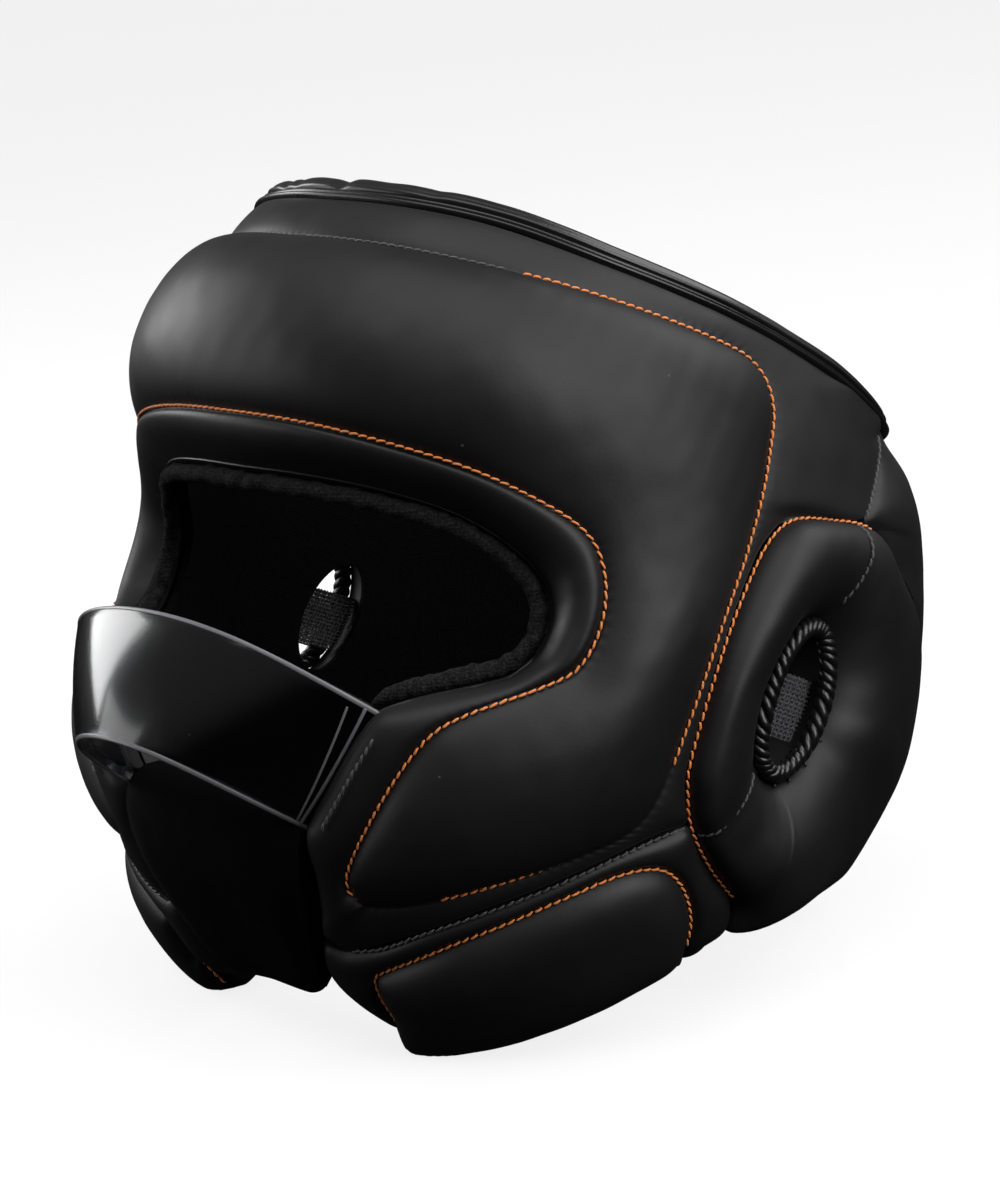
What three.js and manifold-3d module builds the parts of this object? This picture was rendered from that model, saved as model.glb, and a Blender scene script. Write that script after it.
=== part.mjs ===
// Boxing headgear with a clear face bar: padded leather panels over a fabric lining.
// Units are millimetres, +Z is up, the face looks along -Y and the wearer's left is +X.
// The origin is the middle of the footprint, on the surface that the headgear rests on.

import * as THREE from 'three';
import Module from 'manifold-3d';

const wasm = await Module();
wasm.setup();

// Driving sizes

const WALL = 17;              // foam and leather, from a seam valley in to the lining
const LINING_SPACE = 1.3;     // between the foam and the lining
const LINING_THICK = 2;
const SEAM_GAP = 0.5;         // between two panels sewn side by side
const VALLEY = -1.2;          // how deep a sewn seam sits under the shell line
const REST_PITCH = 27.2;      // front up from the rim's own frame, when the headgear stands by itself
const REST_LEVEL = 79.9;      // height of the ear axis over the surface, where soft edges flatten
const ROUNDNESS = 2.15;       // superellipse exponent of the head's plan

// How far each padded form stands out over the shell line, and how wide its rounded flanks are
const PAD = {
  front: { puff: 11, cheek: 7.5, inner: 20, outer: 28, hollow: 30 },
  panel: { puff: 3.4, inner: 8, outer: 8 },
  ear: { puff: 10.5, behind: 6.5, inner: 15, outer: 14, sink: 7 },
  jaw: { puff: 6.5, inner: 12, outer: 14 },
  chin: { puff: 4, inner: 14, outer: 14 },
  back: { puff: 5.5, inner: 16, outer: 16 },
};
const EDGE_ROLL = 10;         // width of a rolled free edge
const LOW_EDGE_DROP = 8;      // how far the lower edge of the ear, jaw and back pads rolls in

// Shell line: radius from the ear axis by latitude, at the face, the ear and the back of the head
const SHELL = [
  { lat: -75, front: 110, side: 118, back: 118 },
  { lat: -60, front: 110, side: 120, back: 120 },
  { lat: -48, front: 110, side: 119, back: 120 },
  { lat: -32, front: 113, side: 113, back: 114 },
  { lat: -16, front: 116, side: 108, back: 112 },
  { lat: 0, front: 119, side: 107, back: 113 },
  { lat: 20, front: 126, side: 110, back: 119 },
  { lat: 34, front: 138, side: 117, back: 123 },
  { lat: 41, front: 144, side: 122, back: 126 },
  { lat: 52, front: 150, side: 131, back: 130 },
];

// Seams of the wearer's left side, in degrees: turn from the middle of the face, and latitude.
// Eye side of the front pad, from the middle of the brow down to the foot of the cheek.
// Columns: free edge turn and latitude, pad stitch turn and latitude, drop of the rolled edge in mm.
const BROW_RIBS = [
  [0, 16.4, 0, 20.5, 12], [12, 16.6, 12, 20.5, 12], [24, 16.8, 25, 20.3, 12], [34.4, 16.4, 37, 19.9, 12],
  [41.5, 15, 46, 18.8, 12], [47, 12.9, 52, 17.4, 12], [50.3, 10.5, 55.4, 15.3, 12], [51.8, 8, 57.4, 12, 12],
  [52.3, 5.8, 58.2, 9, 12], [52.3, 3.9, 58.4, 6.5, 12], [52, 2.3, 58.2, 4, 12],
  [51.6, 0.8, 57.6, 1.5, 12], [51, -0.5, 56.4, -0.9, 12], [50, -1.9, 54.2, -2.9, 11],
  [48.3, -3.7, 51, -5.2, 10], [45.3, -5.4, 47.5, -7.5, 10], [41, -7.5, 44, -9.9, 9],
  [36, -9.9, 41, -12.5, 7], [32, -12.6, 39, -15.5, 3], [29.8, -17.2, 37.5, -18.6, 2],
  [28, -21.6, 36.2, -21.7, 2], [26.5, -25, 35, -24.8, 2], [24.9, -28.2, 33.9, -27.8, 2],
  [23.4, -31, 32.8, -30.8, 3], [23, -34, 31.9, -33.7, 6], [23.8, -37, 31.5, -36, 7],
  [24.2, -40.4, 32.2, -37.9, 7],
];

// Foot of the cheek, where the panel turns from the face to the jaw seam: pad stitch, then free edge
const CORNER_RIBS = [
  [33.2, -38.3, 24.2, -44.6, 7], [34.2, -38.6, 24.4, -48.9, 5], [35.1, -38.9, 29, -48.7, 0],
];

// Outer side of the front pad, from the middle of the crown down to the foot of the cheek.
// Columns: pad stitch turn and latitude, outer seam turn and latitude (crown, ear, then jaw seam).
const SIDE_RIBS = [
  [0, 41, 0, 46.2], [14, 41.2, 14, 46.4], [28, 42, 28, 47], [44, 43.8, 44, 47.8], [58, 45.4, 59, 48.9],
  [69, 46.3, 72, 49.9], [76.5, 46.3, 86, 50], [81, 44.4, 103, 48.2], [82.6, 41, 119.3, 45.8],
  [82, 36, 112.8, 38.8], [81, 30.5, 106.3, 31.7], [80.2, 26.5, 97, 30.9], [79.5, 23.2, 88.2, 29],
  [78.8, 20, 83, 24.4], [78, 17, 80.5, 19.2], [76.7, 11, 78.4, 11.5], [75.7, 4, 77.3, 4],
  [75, -3, 77.1, -3.2], [74.5, -9.4, 77.4, -9.6], [74.1, -13.6, 78.8, -13.4], [73, -17.6, 80.9, -16.5],
  [70.4, -21, 76, -19.5],
  [66, -24, 69.4, -24.2], [60, -27.8, 62.6, -29.1], [51, -33.1, 53.3, -35.3],
  [42, -37.4, 43.5, -42], [36, -39.2, 34.2, -47.5],
];

// Ear pad: the stitch round it, from the bottom of the front leg over the top and round by the edge below
const EAR_STITCH = [
  [100.5, -31], [97.9, -26], [94.5, -24.5], [89.7, -22.6], [84.9, -19.8], [81.3, -16.7], [79.2, -13.4],
  [77.7, -9.6], [77.3, -4], [77.5, 3], [78.6, 11], [80.9, 18.8], [84, 24.8], [88.5, 28.4], [96, 30.1],
  [105.5, 30.6], [114, 29.9], [122.7, 28], [128.5, 24], [132, 17], [133.6, 8], [133.6, -2], [132, -10],
  [128, -16.8], [122, -20.8], [115, -24.6], [107.5, -28.2],
];
const EAR_HOLE = { turn: 97.4, lat: 4.6, long: 12.4, wide: 7.6, lean: 11.5 };
const EAR_HOLE_ROPE = 2.5;    // radius of the cord sewn round the hole
const EAR_MESH = { from: -1.4, to: 8.6, depth: 9, thick: 1 };

// Jaw, from the chin to the ear. Columns: seam above or free edge in front, turn and latitude; the jaw
// pad's stitch; and the lower edge under the pad, which the first and last rows lack.
const JAW_RIBS = [
  [24.5, -61.5, 49, -66, 0, 0], [23.6, -57, 44, -59.5, 52.5, -66.5],
  [23.7, -53, 39.8, -55.8, 54.5, -66.4], [25.6, -49.6, 38, -52.2, 56.5, -65.9],
  [31, -49, 40, -49.9, 58.5, -65.2], [38.5, -46, 45.2, -45.9, 61, -63.8],
  [46, -40.8, 51.5, -40.9, 64.5, -61.8], [54.5, -35.2, 58.5, -35.8, 69, -58.8],
  [62.5, -29.8, 65, -31, 73.5, -55.5], [70.3, -24.2, 71.8, -26.4, 78, -51.7],
  [76.5, -19.9, 76.5, -24.4, 82, -48.2], [81.3, -17.2, 80.3, -24, 85.5, -45],
  [85.2, -20.5, 83.8, -25.1, 88, -42.7], [90.2, -23.3, 87.3, -27.4, 90, -40.9],
  [95.5, -25.3, 90.3, -30.4, 91.6, -39.5], [99, -28.6, 92.3, -34, 92.8, -38.4],
  [100.4, -32, 93.6, -37.6, 0, 0],
];

// Back of the head: ear stitch and crown side, then the opening at the middle of the back
const BACK_RIBS = [
  [128.4, -18.4, 178.6, -27], [131.8, -12, 178.6, -18], [134, -5, 178.6, -9.5], [134.6, 3, 178.6, 0],
  [133.9, 12, 178.6, 7.5], [131, 20.6, 178.6, 14.5], [124.5, 28.3, 178.6, 21], [115.5, 30.6, 178.6, 27],
  [107.3, 31.6, 178.6, 31.5], [110.4, 35.2, 178.6, 36], [114.4, 39.9, 178.6, 40], [120.3, 45.3, 178.6, 44.2],
];
const BACK_STRAP = { turn: 24, low: 2, high: 21, lift: 4.8, thick: 3 };

// Crown rim and lower edge all round, by turn
const RIM_LAT = [
  [0, 46.2], [16, 46.4], [32, 47.2], [47, 47.9], [63, 49.3], [74, 50], [86, 50], [100, 48.6], [114, 46.5],
  [127, 45.2], [150, 44.6], [180, 44.5],
];
const LOWER_LAT = [
  [0, -59.5], [24, -60.5], [32, -64], [42, -65.8], [52, -65.8], [60, -64], [68, -59.3], [75, -54.2],
  [81, -48.9], [86, -44.4], [92, -38.8], [98, -34.3], [104, -30], [111, -26.4], [118, -22.8], [127, -18.6],
  [150, -21.5], [180, -25.5],
];
// Rolled rim, outside to inside: distance from the shell line in mm, and rise over the rim seam in degrees
const RIM_SECTION = [
  [0.6, 1.25], [2.2, 1.7], [1.9, 2.5], [-1.5, 3.4], [-7, 3.8], [-12.5, 3.3], [-16, 2.2], [-16.6, 0.9],
];
// Twin piping under the rim: distance from the shell line in mm, and rise over the rim seam in degrees
const PIPING_SECTION = [[0, 0.08], [2.1, 0.2], [1.3, 0.55], [2.1, 0.9], [0, 1.02], [-1, 0.55]];

// Chin piece between the jaws, and the lining's roll round the face opening
const CHIN = { turn: 22.8, top: -31.5, low: -60, wall: 14 };
const LINING_ROLL = { radius: 2.4, depth: 14.9, inset: 0.9, end: 0.677 };
const LINING_FACE_END = 0.869; // where the lining's face cut leaves the cheek edge, as a part of that edge

// Face bar in the rim's frame, from its middle to the end in the cheek.
// Columns: x, y and z of the top edge, then of the bottom edge.
const BAR_RIBS = [
  [0, -121.5, -12.3, 0, -125.3, -47.3], [21, -121, -13.8, 14, -123.3, -48.3],
  [42, -113, -16.6, 25, -113.5, -50.3], [52, -99.5, -20.7, 32, -101, -53.2],
  [57, -91, -23, 35, -88, -55.2], [61, -83.5, -25, 36.6, -79, -56.8],
];
const BAR_THICK = 4.4;
const BAR_POCKET = 0.4;       // clearance of the cheek pocket round the bar

// Looks

const leather = new THREE.MeshStandardMaterial({ color: 0x1b1b1d, roughness: 0.5, metalness: 0 });
const gloss = new THREE.MeshStandardMaterial({ color: 0x101012, roughness: 0.22, metalness: 0 });
const fabric = new THREE.MeshStandardMaterial({ color: 0x17161a, roughness: 0.95, metalness: 0 });
const clear = new THREE.MeshStandardMaterial({
  color: 0xdfe6ea, roughness: 0.06, metalness: 0, transparent: true, opacity: 0.35,
});

// Shell surface

const { degToRad: radians, smoothstep } = THREE.MathUtils;

/** Reads a table of [x, y] rows, or of rows with named columns, as a smooth curve through the rows. */
function smooth(rows, x, xKey = 0, yKey = 1) {
  const last = rows.length - 1;
  const at = THREE.MathUtils.clamp(x, rows[0][xKey], rows[last][xKey]);
  let i = 0;
  while (i < last - 1 && rows[i + 1][xKey] < at) i += 1;
  const slope = (k) => {
    const a = rows[Math.max(k - 1, 0)];
    const b = rows[Math.min(k + 1, last)];
    return (b[yKey] - a[yKey]) / (b[xKey] - a[xKey]);
  };
  const width = rows[i + 1][xKey] - rows[i][xKey];
  const t = (at - rows[i][xKey]) / width;
  const [t2, t3] = [t * t, t * t * t];
  return (2 * t3 - 3 * t2 + 1) * rows[i][yKey] + (t3 - 2 * t2 + t) * width * slope(i)
    + (3 * t2 - 2 * t3) * rows[i + 1][yKey] + (t3 - t2) * width * slope(i + 1);
}

/** Radius of the shell line at a turn and latitude. */
function shellRadius([turn, lat]) {
  const side = smooth(SHELL, lat, 'lat', 'side');
  const ahead = Math.cos(radians(turn));
  const length = smooth(SHELL, lat, 'lat', ahead > 0 ? 'front' : 'back');
  const across = Math.abs(Math.sin(radians(turn))) / side;
  return (across ** ROUNDNESS + (Math.abs(ahead) / length) ** ROUNDNESS) ** (-1 / ROUNDNESS);
}

/** Direction of a turn and latitude, in the rim's frame. */
function ray([turn, lat]) {
  const [p, l] = [radians(turn), radians(lat)];
  return new THREE.Vector3(Math.cos(l) * Math.sin(p), -Math.cos(l) * Math.cos(p), Math.sin(l));
}

/** Point on the shell line, moved out by an offset in mm. */
function shellPoint(seam, offset = 0) {
  return ray(seam).multiplyScalar(shellRadius(seam) + offset);
}

const lowerLat = (turn) => smooth(LOWER_LAT, Math.abs(turn));
const rimLat = (turn) => smooth(RIM_LAT, Math.abs(turn));
const mirror = ([turn, lat]) => [-turn, lat];
const signedTurn = (part) => (part > 0.5 ? 360 * part - 360 : 360 * part);
const mix = (a, b, t) => a.map((value, k) => value + (b[k] - value) * t);

/** Rounded flank of a pad: 0 at its stitch, 1 from the flank's width on. */
function flank(distance, width) {
  const t = 1 - Math.min(Math.max(distance / width, 0), 1);
  return Math.sqrt(1 - t * t);
}

// Closed meshes

/** Makes an indexed geometry with its faces pointing out. */
function closedGeometry(points, faces) {
  let volume = 0;
  for (const [a, b, c] of faces) volume += points[a].dot(points[b].clone().cross(points[c]));
  const geometry = new THREE.BufferGeometry().setFromPoints(points);
  geometry.setIndex((volume < 0 ? faces.map(([a, b, c]) => [a, c, b]) : faces).flat());
  return geometry;
}

/** Fills the band between two rows of point numbers that run side by side, by their own lengths. */
function zip(rowA, rowB, points) {
  const walk = (row) => {
    const steps = [0];
    for (let k = 1; k < row.length; k += 1) {
      steps.push(steps[k - 1] + points[row[k]].distanceTo(points[row[k - 1]]));
    }
    return steps.map((step) => step / (steps.at(-1) || 1));
  };
  const [walkA, walkB] = [walk(rowA), walk(rowB)];
  const faces = [];
  let [i, j] = [0, 0];
  while (i < rowA.length - 1 || j < rowB.length - 1) {
    const nextA = i < rowA.length - 1 ? walkA[i + 1] : Infinity;
    const nextB = j < rowB.length - 1 ? walkB[j + 1] : Infinity;
    if (nextA <= nextB) {
      faces.push([rowA[i], rowA[i + 1], rowB[j]]);
      i += 1;
    } else {
      faces.push([rowA[i], rowB[j + 1], rowB[j]]);
      j += 1;
    }
  }
  return faces;
}

/**
 * Padded panel between two seams. Each rib joins a point of seam a to one of seam b, and height gives
 * the outer face's offset from the shell line at the distances (mm) from both seams.
 */
function panel(ribs, { across, height, closed = false, wall = WALL, gap = SEAM_GAP / 2, inside = 2 }) {
  const points = [];
  const outer = [];
  const inner = [];
  ribs.forEach(({ a, b, ...rib }, i) => {
    const width = shellPoint(a).distanceTo(shellPoint(b));
    const trim = Math.min(gap / width, 0.2);
    const seamAt = (s) => mix(a, b, trim + (1 - 2 * trim) * s);
    const put = (row, seam, offset) => {
      row.push(points.length);
      points.push(shellPoint(seam, offset));
    };
    outer.push([]);
    inner.push([]);
    for (let j = 0; j <= across; j += 1) {
      const s = 0.5 - 0.5 * Math.cos((Math.PI * j) / across);
      put(outer[i], seamAt(s), height(s * width, (1 - s) * width, rib));
    }
    for (let j = 0; j <= inside; j += 1) put(inner[i], seamAt(j / inside), -wall);
  });
  const faces = [];
  const quad = (a, b, c, d) => faces.push([a, b, c], [a, c, d]);
  const count = closed ? ribs.length : ribs.length - 1;
  for (let i = 0; i < count; i += 1) {
    const n = (i + 1) % ribs.length;
    for (let j = 0; j < across; j += 1) quad(outer[i][j], outer[n][j], outer[n][j + 1], outer[i][j + 1]);
    for (let j = 0; j < inside; j += 1) quad(inner[i][j], inner[i][j + 1], inner[n][j + 1], inner[n][j]);
    quad(outer[i][0], inner[i][0], inner[n][0], outer[n][0]);
    quad(outer[i][across], outer[n][across], inner[n][inside], inner[i][inside]);
  }
  if (!closed) {
    const last = ribs.length - 1;
    faces.push(...zip(outer[0], inner[0], points));
    faces.push(...zip(outer[last], inner[last], points).map(([a, b, c]) => [a, c, b]));
  }
  return closedGeometry(points, faces);
}

/** Body swept through sections that all have the same number of points. */
function loft(sections, closed) {
  const size = sections[0].length;
  const points = sections.flat();
  const faces = [];
  const count = closed ? sections.length : sections.length - 1;
  for (let i = 0; i < count; i += 1) {
    const [here, next] = [i * size, ((i + 1) % sections.length) * size];
    for (let j = 0; j < size; j += 1) {
      const k = (j + 1) % size;
      faces.push([here + j, next + j, next + k], [here + j, next + k, here + k]);
    }
  }
  if (!closed) {
    const last = (sections.length - 1) * size;
    for (let j = 1; j < size - 1; j += 1) faces.push([0, j, j + 1], [last, last + j + 1, last + j]);
  }
  return closedGeometry(points, faces);
}

/** Cord of a given radius along points, with the shell's own outward direction as its upright. */
function cord(path, radius, sides, closed) {
  return loft(path.map((point, i) => {
    const before = path[closed ? (i + path.length - 1) % path.length : Math.max(i - 1, 0)];
    const after = path[closed ? (i + 1) % path.length : Math.min(i + 1, path.length - 1)];
    const along = after.clone().sub(before).normalize();
    const out = point.clone().normalize();
    const across = along.clone().cross(out).normalize();
    const upright = across.clone().cross(along);
    return Array.from({ length: sides }, (_, k) => {
      const turn = (2 * Math.PI * (k + 0.5)) / sides;
      return point.clone().addScaledVector(across, radius * Math.cos(turn))
        .addScaledVector(upright, radius * Math.sin(turn));
    });
  }), closed);
}

/** Cutter along the shell's rays, through a loop of seam points round a middle point. */
function rayCutter(loop, middle, near = 40, far = 230) {
  const fan = [...loop, middle];
  const points = [near, far].flatMap((radius) => fan.map((seam) => ray(seam).multiplyScalar(radius)));
  const size = loop.length + 1;
  const faces = [];
  loop.forEach((_, i) => {
    const n = (i + 1) % loop.length;
    faces.push([i, n, size + n], [i, size + n, size + i]);
    faces.push([loop.length, n, i], [size + loop.length, size + i, size + n]);
  });
  return closedGeometry(points, faces);
}

/** Whole closed globe at an offset from the shell line. */
function globe(offset, turns, lats) {
  const points = [ray([0, -90]).multiplyScalar(95), ray([0, 90]).multiplyScalar(115)];
  const faces = [];
  const number = (i, j) => 2 + (i % turns) * (lats.length) + j;
  for (let i = 0; i < turns; i += 1) {
    lats.forEach((lat) => points.push(shellPoint([(360 * i) / turns, lat], offset)));
  }
  for (let i = 0; i < turns; i += 1) {
    faces.push([0, number(i + 1, 0), number(i, 0)]);
    faces.push([1, number(i, lats.length - 1), number(i + 1, lats.length - 1)]);
    for (let j = 0; j < lats.length - 1; j += 1) {
      faces.push([number(i, j), number(i + 1, j), number(i + 1, j + 1)]);
      faces.push([number(i, j), number(i + 1, j + 1), number(i, j + 1)]);
    }
  }
  return closedGeometry(points, faces);
}

function toSolid(geometry) {
  return new wasm.Manifold(new wasm.Mesh({
    numProp: 3,
    vertProperties: new Float32Array(geometry.attributes.position.array),
    triVerts: new Uint32Array(geometry.index.array),
  }));
}

function toGeometry(solid) {
  const { vertProperties, triVerts } = solid.getMesh();
  const geometry = new THREE.BufferGeometry();
  geometry.setAttribute('position', new THREE.BufferAttribute(new Float32Array(vertProperties), 3));
  geometry.setIndex([...triVerts]);
  return geometry;
}

/** Cuts tools away from a body. */
function cut(geometry, ...tools) {
  return toGeometry(tools.reduce((body, tool) => body.subtract(toSolid(tool)), toSolid(geometry)));
}

// Seam curves

/** Curve through two columns of a rib table. */
function seamCurve(rows, column) {
  return new THREE.SplineCurve(rows.map((row) => new THREE.Vector2(row[column], row[column + 1])));
}

const seamAt = (curve, t) => curve.getPoint(t).toArray();

/** Even steps from one value to another, both ends included. */
function steps(count, from = 0, to = 1) {
  return Array.from({ length: count + 1 }, (_, i) => from + ((to - from) * i) / count);
}

const FRONT_STEPS = 26;       // ribs from the middle of the face to the foot of the cheek
const CROWN_STEPS = 40;       // sections round the crown
const browEdge = seamCurve(BROW_RIBS, 0);
const browStitch = seamCurve(BROW_RIBS, 2);
const browDrop = (t) => smooth(BROW_RIBS.map((row, i) => [i / (BROW_RIBS.length - 1), row[4]]), t);
const sideStitch = seamCurve(SIDE_RIBS, 0);
const sideEdge = seamCurve(SIDE_RIBS, 2);

/** Keeps a seam point just under the crown rim. */
const underRim = ([turn, lat]) => [turn, Math.min(lat, rimLat(turn) - 0.25)];

const mirrorRib = (rib) => ({ ...rib, a: mirror(rib.a), b: mirror(rib.b) });

/** Adds the wearer's right to ribs that run from the middle outwards, as one open row. */
function bothSides(ribs) {
  return [...ribs.slice(1).reverse().map(mirrorRib), ...ribs];
}

/** Turns ribs of the wearer's left into those of one side: 1 for left, -1 for right. */
function onSide(ribs, side) {
  return side > 0 ? ribs : ribs.map(mirrorRib);
}

// Pieces

/** Stuffed forehead, temple and cheek pad, one piece from cheek to cheek. */
function frontPad() {
  const { puff, cheek, inner, outer, hollow } = PAD.front;
  const ribs = steps(FRONT_STEPS).map((t) => ({
    a: seamAt(browStitch, t),
    b: seamAt(sideStitch, t),
    rise: puff + (cheek - puff) * smoothstep(t, 0.15, 0.5),
    slope: inner + hollow * Math.exp(-(((t - 0.45) / 0.17) ** 2)),
  }));
  const height = (toBrow, toSide, { rise, slope }) => VALLEY
    + rise * flank(toBrow, slope) * flank(toSide, outer);
  return panel(bothSides(ribs), { across: 7, height, inside: 3 });
}

/** Leather panel that runs right round the front pad: brow roll, cheek edge, jaw strip and crown band. */
function shellPanel() {
  const { puff, inner, outer } = PAD.panel;
  const brow = steps(FRONT_STEPS).map((t) => ({
    a: seamAt(browStitch, t), b: seamAt(browEdge, t), drop: browDrop(t),
  }));
  const corner = CORNER_RIBS.map(([turn, lat, edgeTurn, edgeLat, drop]) => (
    { a: [turn, lat], b: [edgeTurn, edgeLat], drop }));
  const side = steps(FRONT_STEPS).map((t) => ({
    a: seamAt(sideStitch, t), b: underRim(seamAt(sideEdge, t)), drop: 0,
  }));
  const left = [...brow, ...corner, ...side.reverse()];
  const right = left.slice(1, -1).reverse().map(mirrorRib);
  const height = (toPad, toEdge, { drop }) => VALLEY + puff * flank(toPad, inner) * flank(toEdge, outer)
    - drop * (1 - flank(toEdge, EDGE_ROLL));
  return panel([...left, ...right], { across: 4, height, closed: true });
}

/** Ear hole's outline, moved out from the hole's own edge by a distance in mm. */
function earHole(count, grow) {
  const { turn, lat, long, wide, lean } = EAR_HOLE;
  const perDegree = radians(shellRadius([turn, lat]));
  return Array.from({ length: count }, (_, i) => {
    const angle = (2 * Math.PI * i) / count;
    const along = (long + grow / perDegree) * Math.cos(angle);
    const across = (wide + grow / perDegree) * Math.sin(angle);
    const [forward, upright] = [Math.sin(radians(lean)), Math.cos(radians(lean))];
    return [turn + across * upright + along * forward, lat + along * upright - across * forward];
  });
}

/** Ring pad round the ear hole. */
function earPad(side) {
  const { puff, behind, inner, outer, sink } = PAD.ear;
  const outline = seamCurve([...EAR_STITCH, EAR_STITCH[0]], 0);
  const hole = earHole(72, 0.4);
  const ribs = steps(36).slice(0, -1).map((t) => {
    const b = seamAt(outline, t);
    const away = Math.atan2(b[0] - EAR_HOLE.turn, b[1] - EAR_HOLE.lat);
    const turnOf = ([turn, lat]) => Math.atan2(turn - EAR_HOLE.turn, lat - EAR_HOLE.lat);
    const miss = (seam) => Math.abs(Math.atan2(Math.sin(turnOf(seam) - away), Math.cos(turnOf(seam) - away)));
    const a = hole.reduce((best, seam) => (miss(seam) < miss(best) ? seam : best));
    const free = smoothstep(-b[1], 16, 25) * smoothstep(b[0], 98, 102);
    const rise = puff + (behind - puff) * smoothstep(b[0], 95, 125);
    return { a, b, drop: LOW_EDGE_DROP * free, rise };
  });
  const height = (toHole, toStitch, { drop, rise }) => VALLEY
    + rise * flank(toHole, inner) * flank(toStitch, outer)
    - sink * (1 - flank(toHole, inner)) - drop * (1 - flank(toStitch, EDGE_ROLL));
  return panel(onSide(ribs, side), { across: 6, height, closed: true, inside: 2 });
}

/** Leather of the jaw round the jaw pad, from the free edge at the chin to the ear. */
function jawPanel(side) {
  const { puff, inner, outer } = PAD.panel;
  const [edge, stitch] = [seamCurve(JAW_RIBS, 0), seamCurve(JAW_RIBS, 2)];
  const ribs = steps(26).map((t) => ({
    a: seamAt(edge, t), b: seamAt(stitch, t), drop: 7 * (1 - Math.min(1, t / 0.2)),
    ends: Math.min(t, 1 - t) * 26,
  }));
  const height = (toEdge, toPad, { drop, ends }) => VALLEY + puff * flank(toEdge, inner) * flank(toPad, outer)
    - drop * (1 - flank(toEdge, EDGE_ROLL)) - 5 * (1 - flank(ends, 2));
  return panel(onSide(ribs, side), { across: 4, height, inside: 1 });
}

/** Stuffed jaw pad, from its stitch down to the lower edge. */
function jawPad(side) {
  const { puff, inner, outer } = PAD.jaw;
  const [stitch, lower] = [seamCurve(JAW_RIBS, 2), seamCurve(JAW_RIBS.slice(1, -1), 4)];
  const rows = JAW_RIBS.length - 1;
  const [from, to] = [1.2 / rows, 1 - 1.1 / rows];
  const ribs = steps(22, from, to).map((t) => ({
    a: seamAt(stitch, t),
    b: seamAt(lower, (t * rows - 1) / (rows - 2)),
    ends: Math.min(t - from, to - t) * 24,
  }));
  const height = (toStitch, toLower, { ends }) => VALLEY
    + puff * flank(toStitch, inner) * flank(toLower, outer) * flank(ends + 0.35, 3)
    - LOW_EDGE_DROP * (1 - flank(toLower, EDGE_ROLL));
  return panel(onSide(ribs, side), { across: 6, height, gap: 0.4 });
}

/** Padded half of the back of the head. */
function backPanel(side) {
  const { puff, inner, outer } = PAD.back;
  const [ear, middle] = [seamCurve(BACK_RIBS, 0), seamCurve(BACK_RIBS, 2)];
  const rows = 16;
  const ribs = steps(rows).map((t) => ({
    a: underRim(seamAt(ear, t)), b: underRim(seamAt(middle, t)), low: t * rows, high: (1 - t) * rows,
  }));
  const height = (toEar, toMiddle, { low, high }) => VALLEY
    + puff * flank(toEar, inner) * flank(toMiddle, outer) * flank(high, 3)
    - LOW_EDGE_DROP * (1 - flank(low, 2.2)) - 5 * (1 - flank(toMiddle, EDGE_ROLL));
  return panel(onSide(ribs, side), { across: 5, height, gap: 0.5, inside: 4 });
}

/** Chin piece between the two jaws, under the bar. */
function chinPiece() {
  const { puff, inner, outer } = PAD.chin;
  const ribs = steps(14, -CHIN.turn, CHIN.turn).map((turn) => (
    { a: [turn, CHIN.top], b: [turn, CHIN.low], turn }));
  const height = (toTop, toLow, { turn }) => -4 + puff * flank(CHIN.turn - Math.abs(turn), 9)
    - 7 * (1 - flank(toTop, inner)) + 2 * flank(toTop, 40) - 5 * (1 - flank(toLow, outer));
  return panel(ribs, { across: 6, height, wall: CHIN.wall, gap: 0 });
}

/** Ring of sections round the crown, from a table of offsets and rises. */
function crownRing(section, count) {
  return loft(steps(count).slice(0, -1).map((t) => {
    const turn = signedTurn(t);
    return section.map(([offset, rise]) => {
      const seat = shellRadius([turn, rimLat(turn)]) + offset;
      return ray([turn, rimLat(turn) + rise]).multiplyScalar(seat);
    });
  }), true);
}

/** Lining: one thin layer behind the foam, open at the crown, the neck, the face and the ears. */
function lining() {
  const lats = [-72, -54, -36, -18, 0, 18, 36, 54];
  const turns = 20;
  const outside = globe(-WALL - LINING_SPACE, turns, lats);
  const inside = globe(-WALL - LINING_SPACE - LINING_THICK, turns, lats);
  const ring = (latOf) => steps(turns).slice(0, -1).map((t) => [360 * t, latOf(signedTurn(t))]);
  const crown = rayCutter(ring((turn) => rimLat(turn) - 0.8), [0, 90]);
  const neck = rayCutter(ring((turn) => lowerLat(turn) + 1.5), [0, -90]);
  const faceLeft = steps(16, 0, LINING_FACE_END).map((t) => seamAt(browEdge, t));
  const faceRight = faceLeft.slice(1).reverse().map(mirror);
  const face = rayCutter([...faceLeft, [10, CHIN.top], [-10, CHIN.top], ...faceRight], [0, -6]);
  const ear = earHole(16, 0.8);
  const earMiddle = [EAR_HOLE.turn, EAR_HOLE.lat];
  return cut(outside, inside, crown, neck, face, rayCutter(ear, earMiddle),
    rayCutter(ear.map(mirror).reverse(), mirror(earMiddle)));
}

/** Fuzzy roll of the lining round the eyes, from one bar end over the brow to the other. */
function liningRoll() {
  const { radius, depth, inset, end } = LINING_ROLL;
  const left = steps(17, 0, end).map((t) => {
    const edge = seamAt(browEdge, t);
    const stitch = seamAt(browStitch, t);
    const width = shellPoint(edge).distanceTo(shellPoint(stitch));
    return shellPoint(mix(edge, stitch, -(inset + radius) / width), -depth);
  });
  const right = left.slice(1).reverse().map((point) => point.clone().multiply(new THREE.Vector3(-1, 1, 1)));
  return cord([...right, ...left], radius, 6, false);
}

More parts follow.
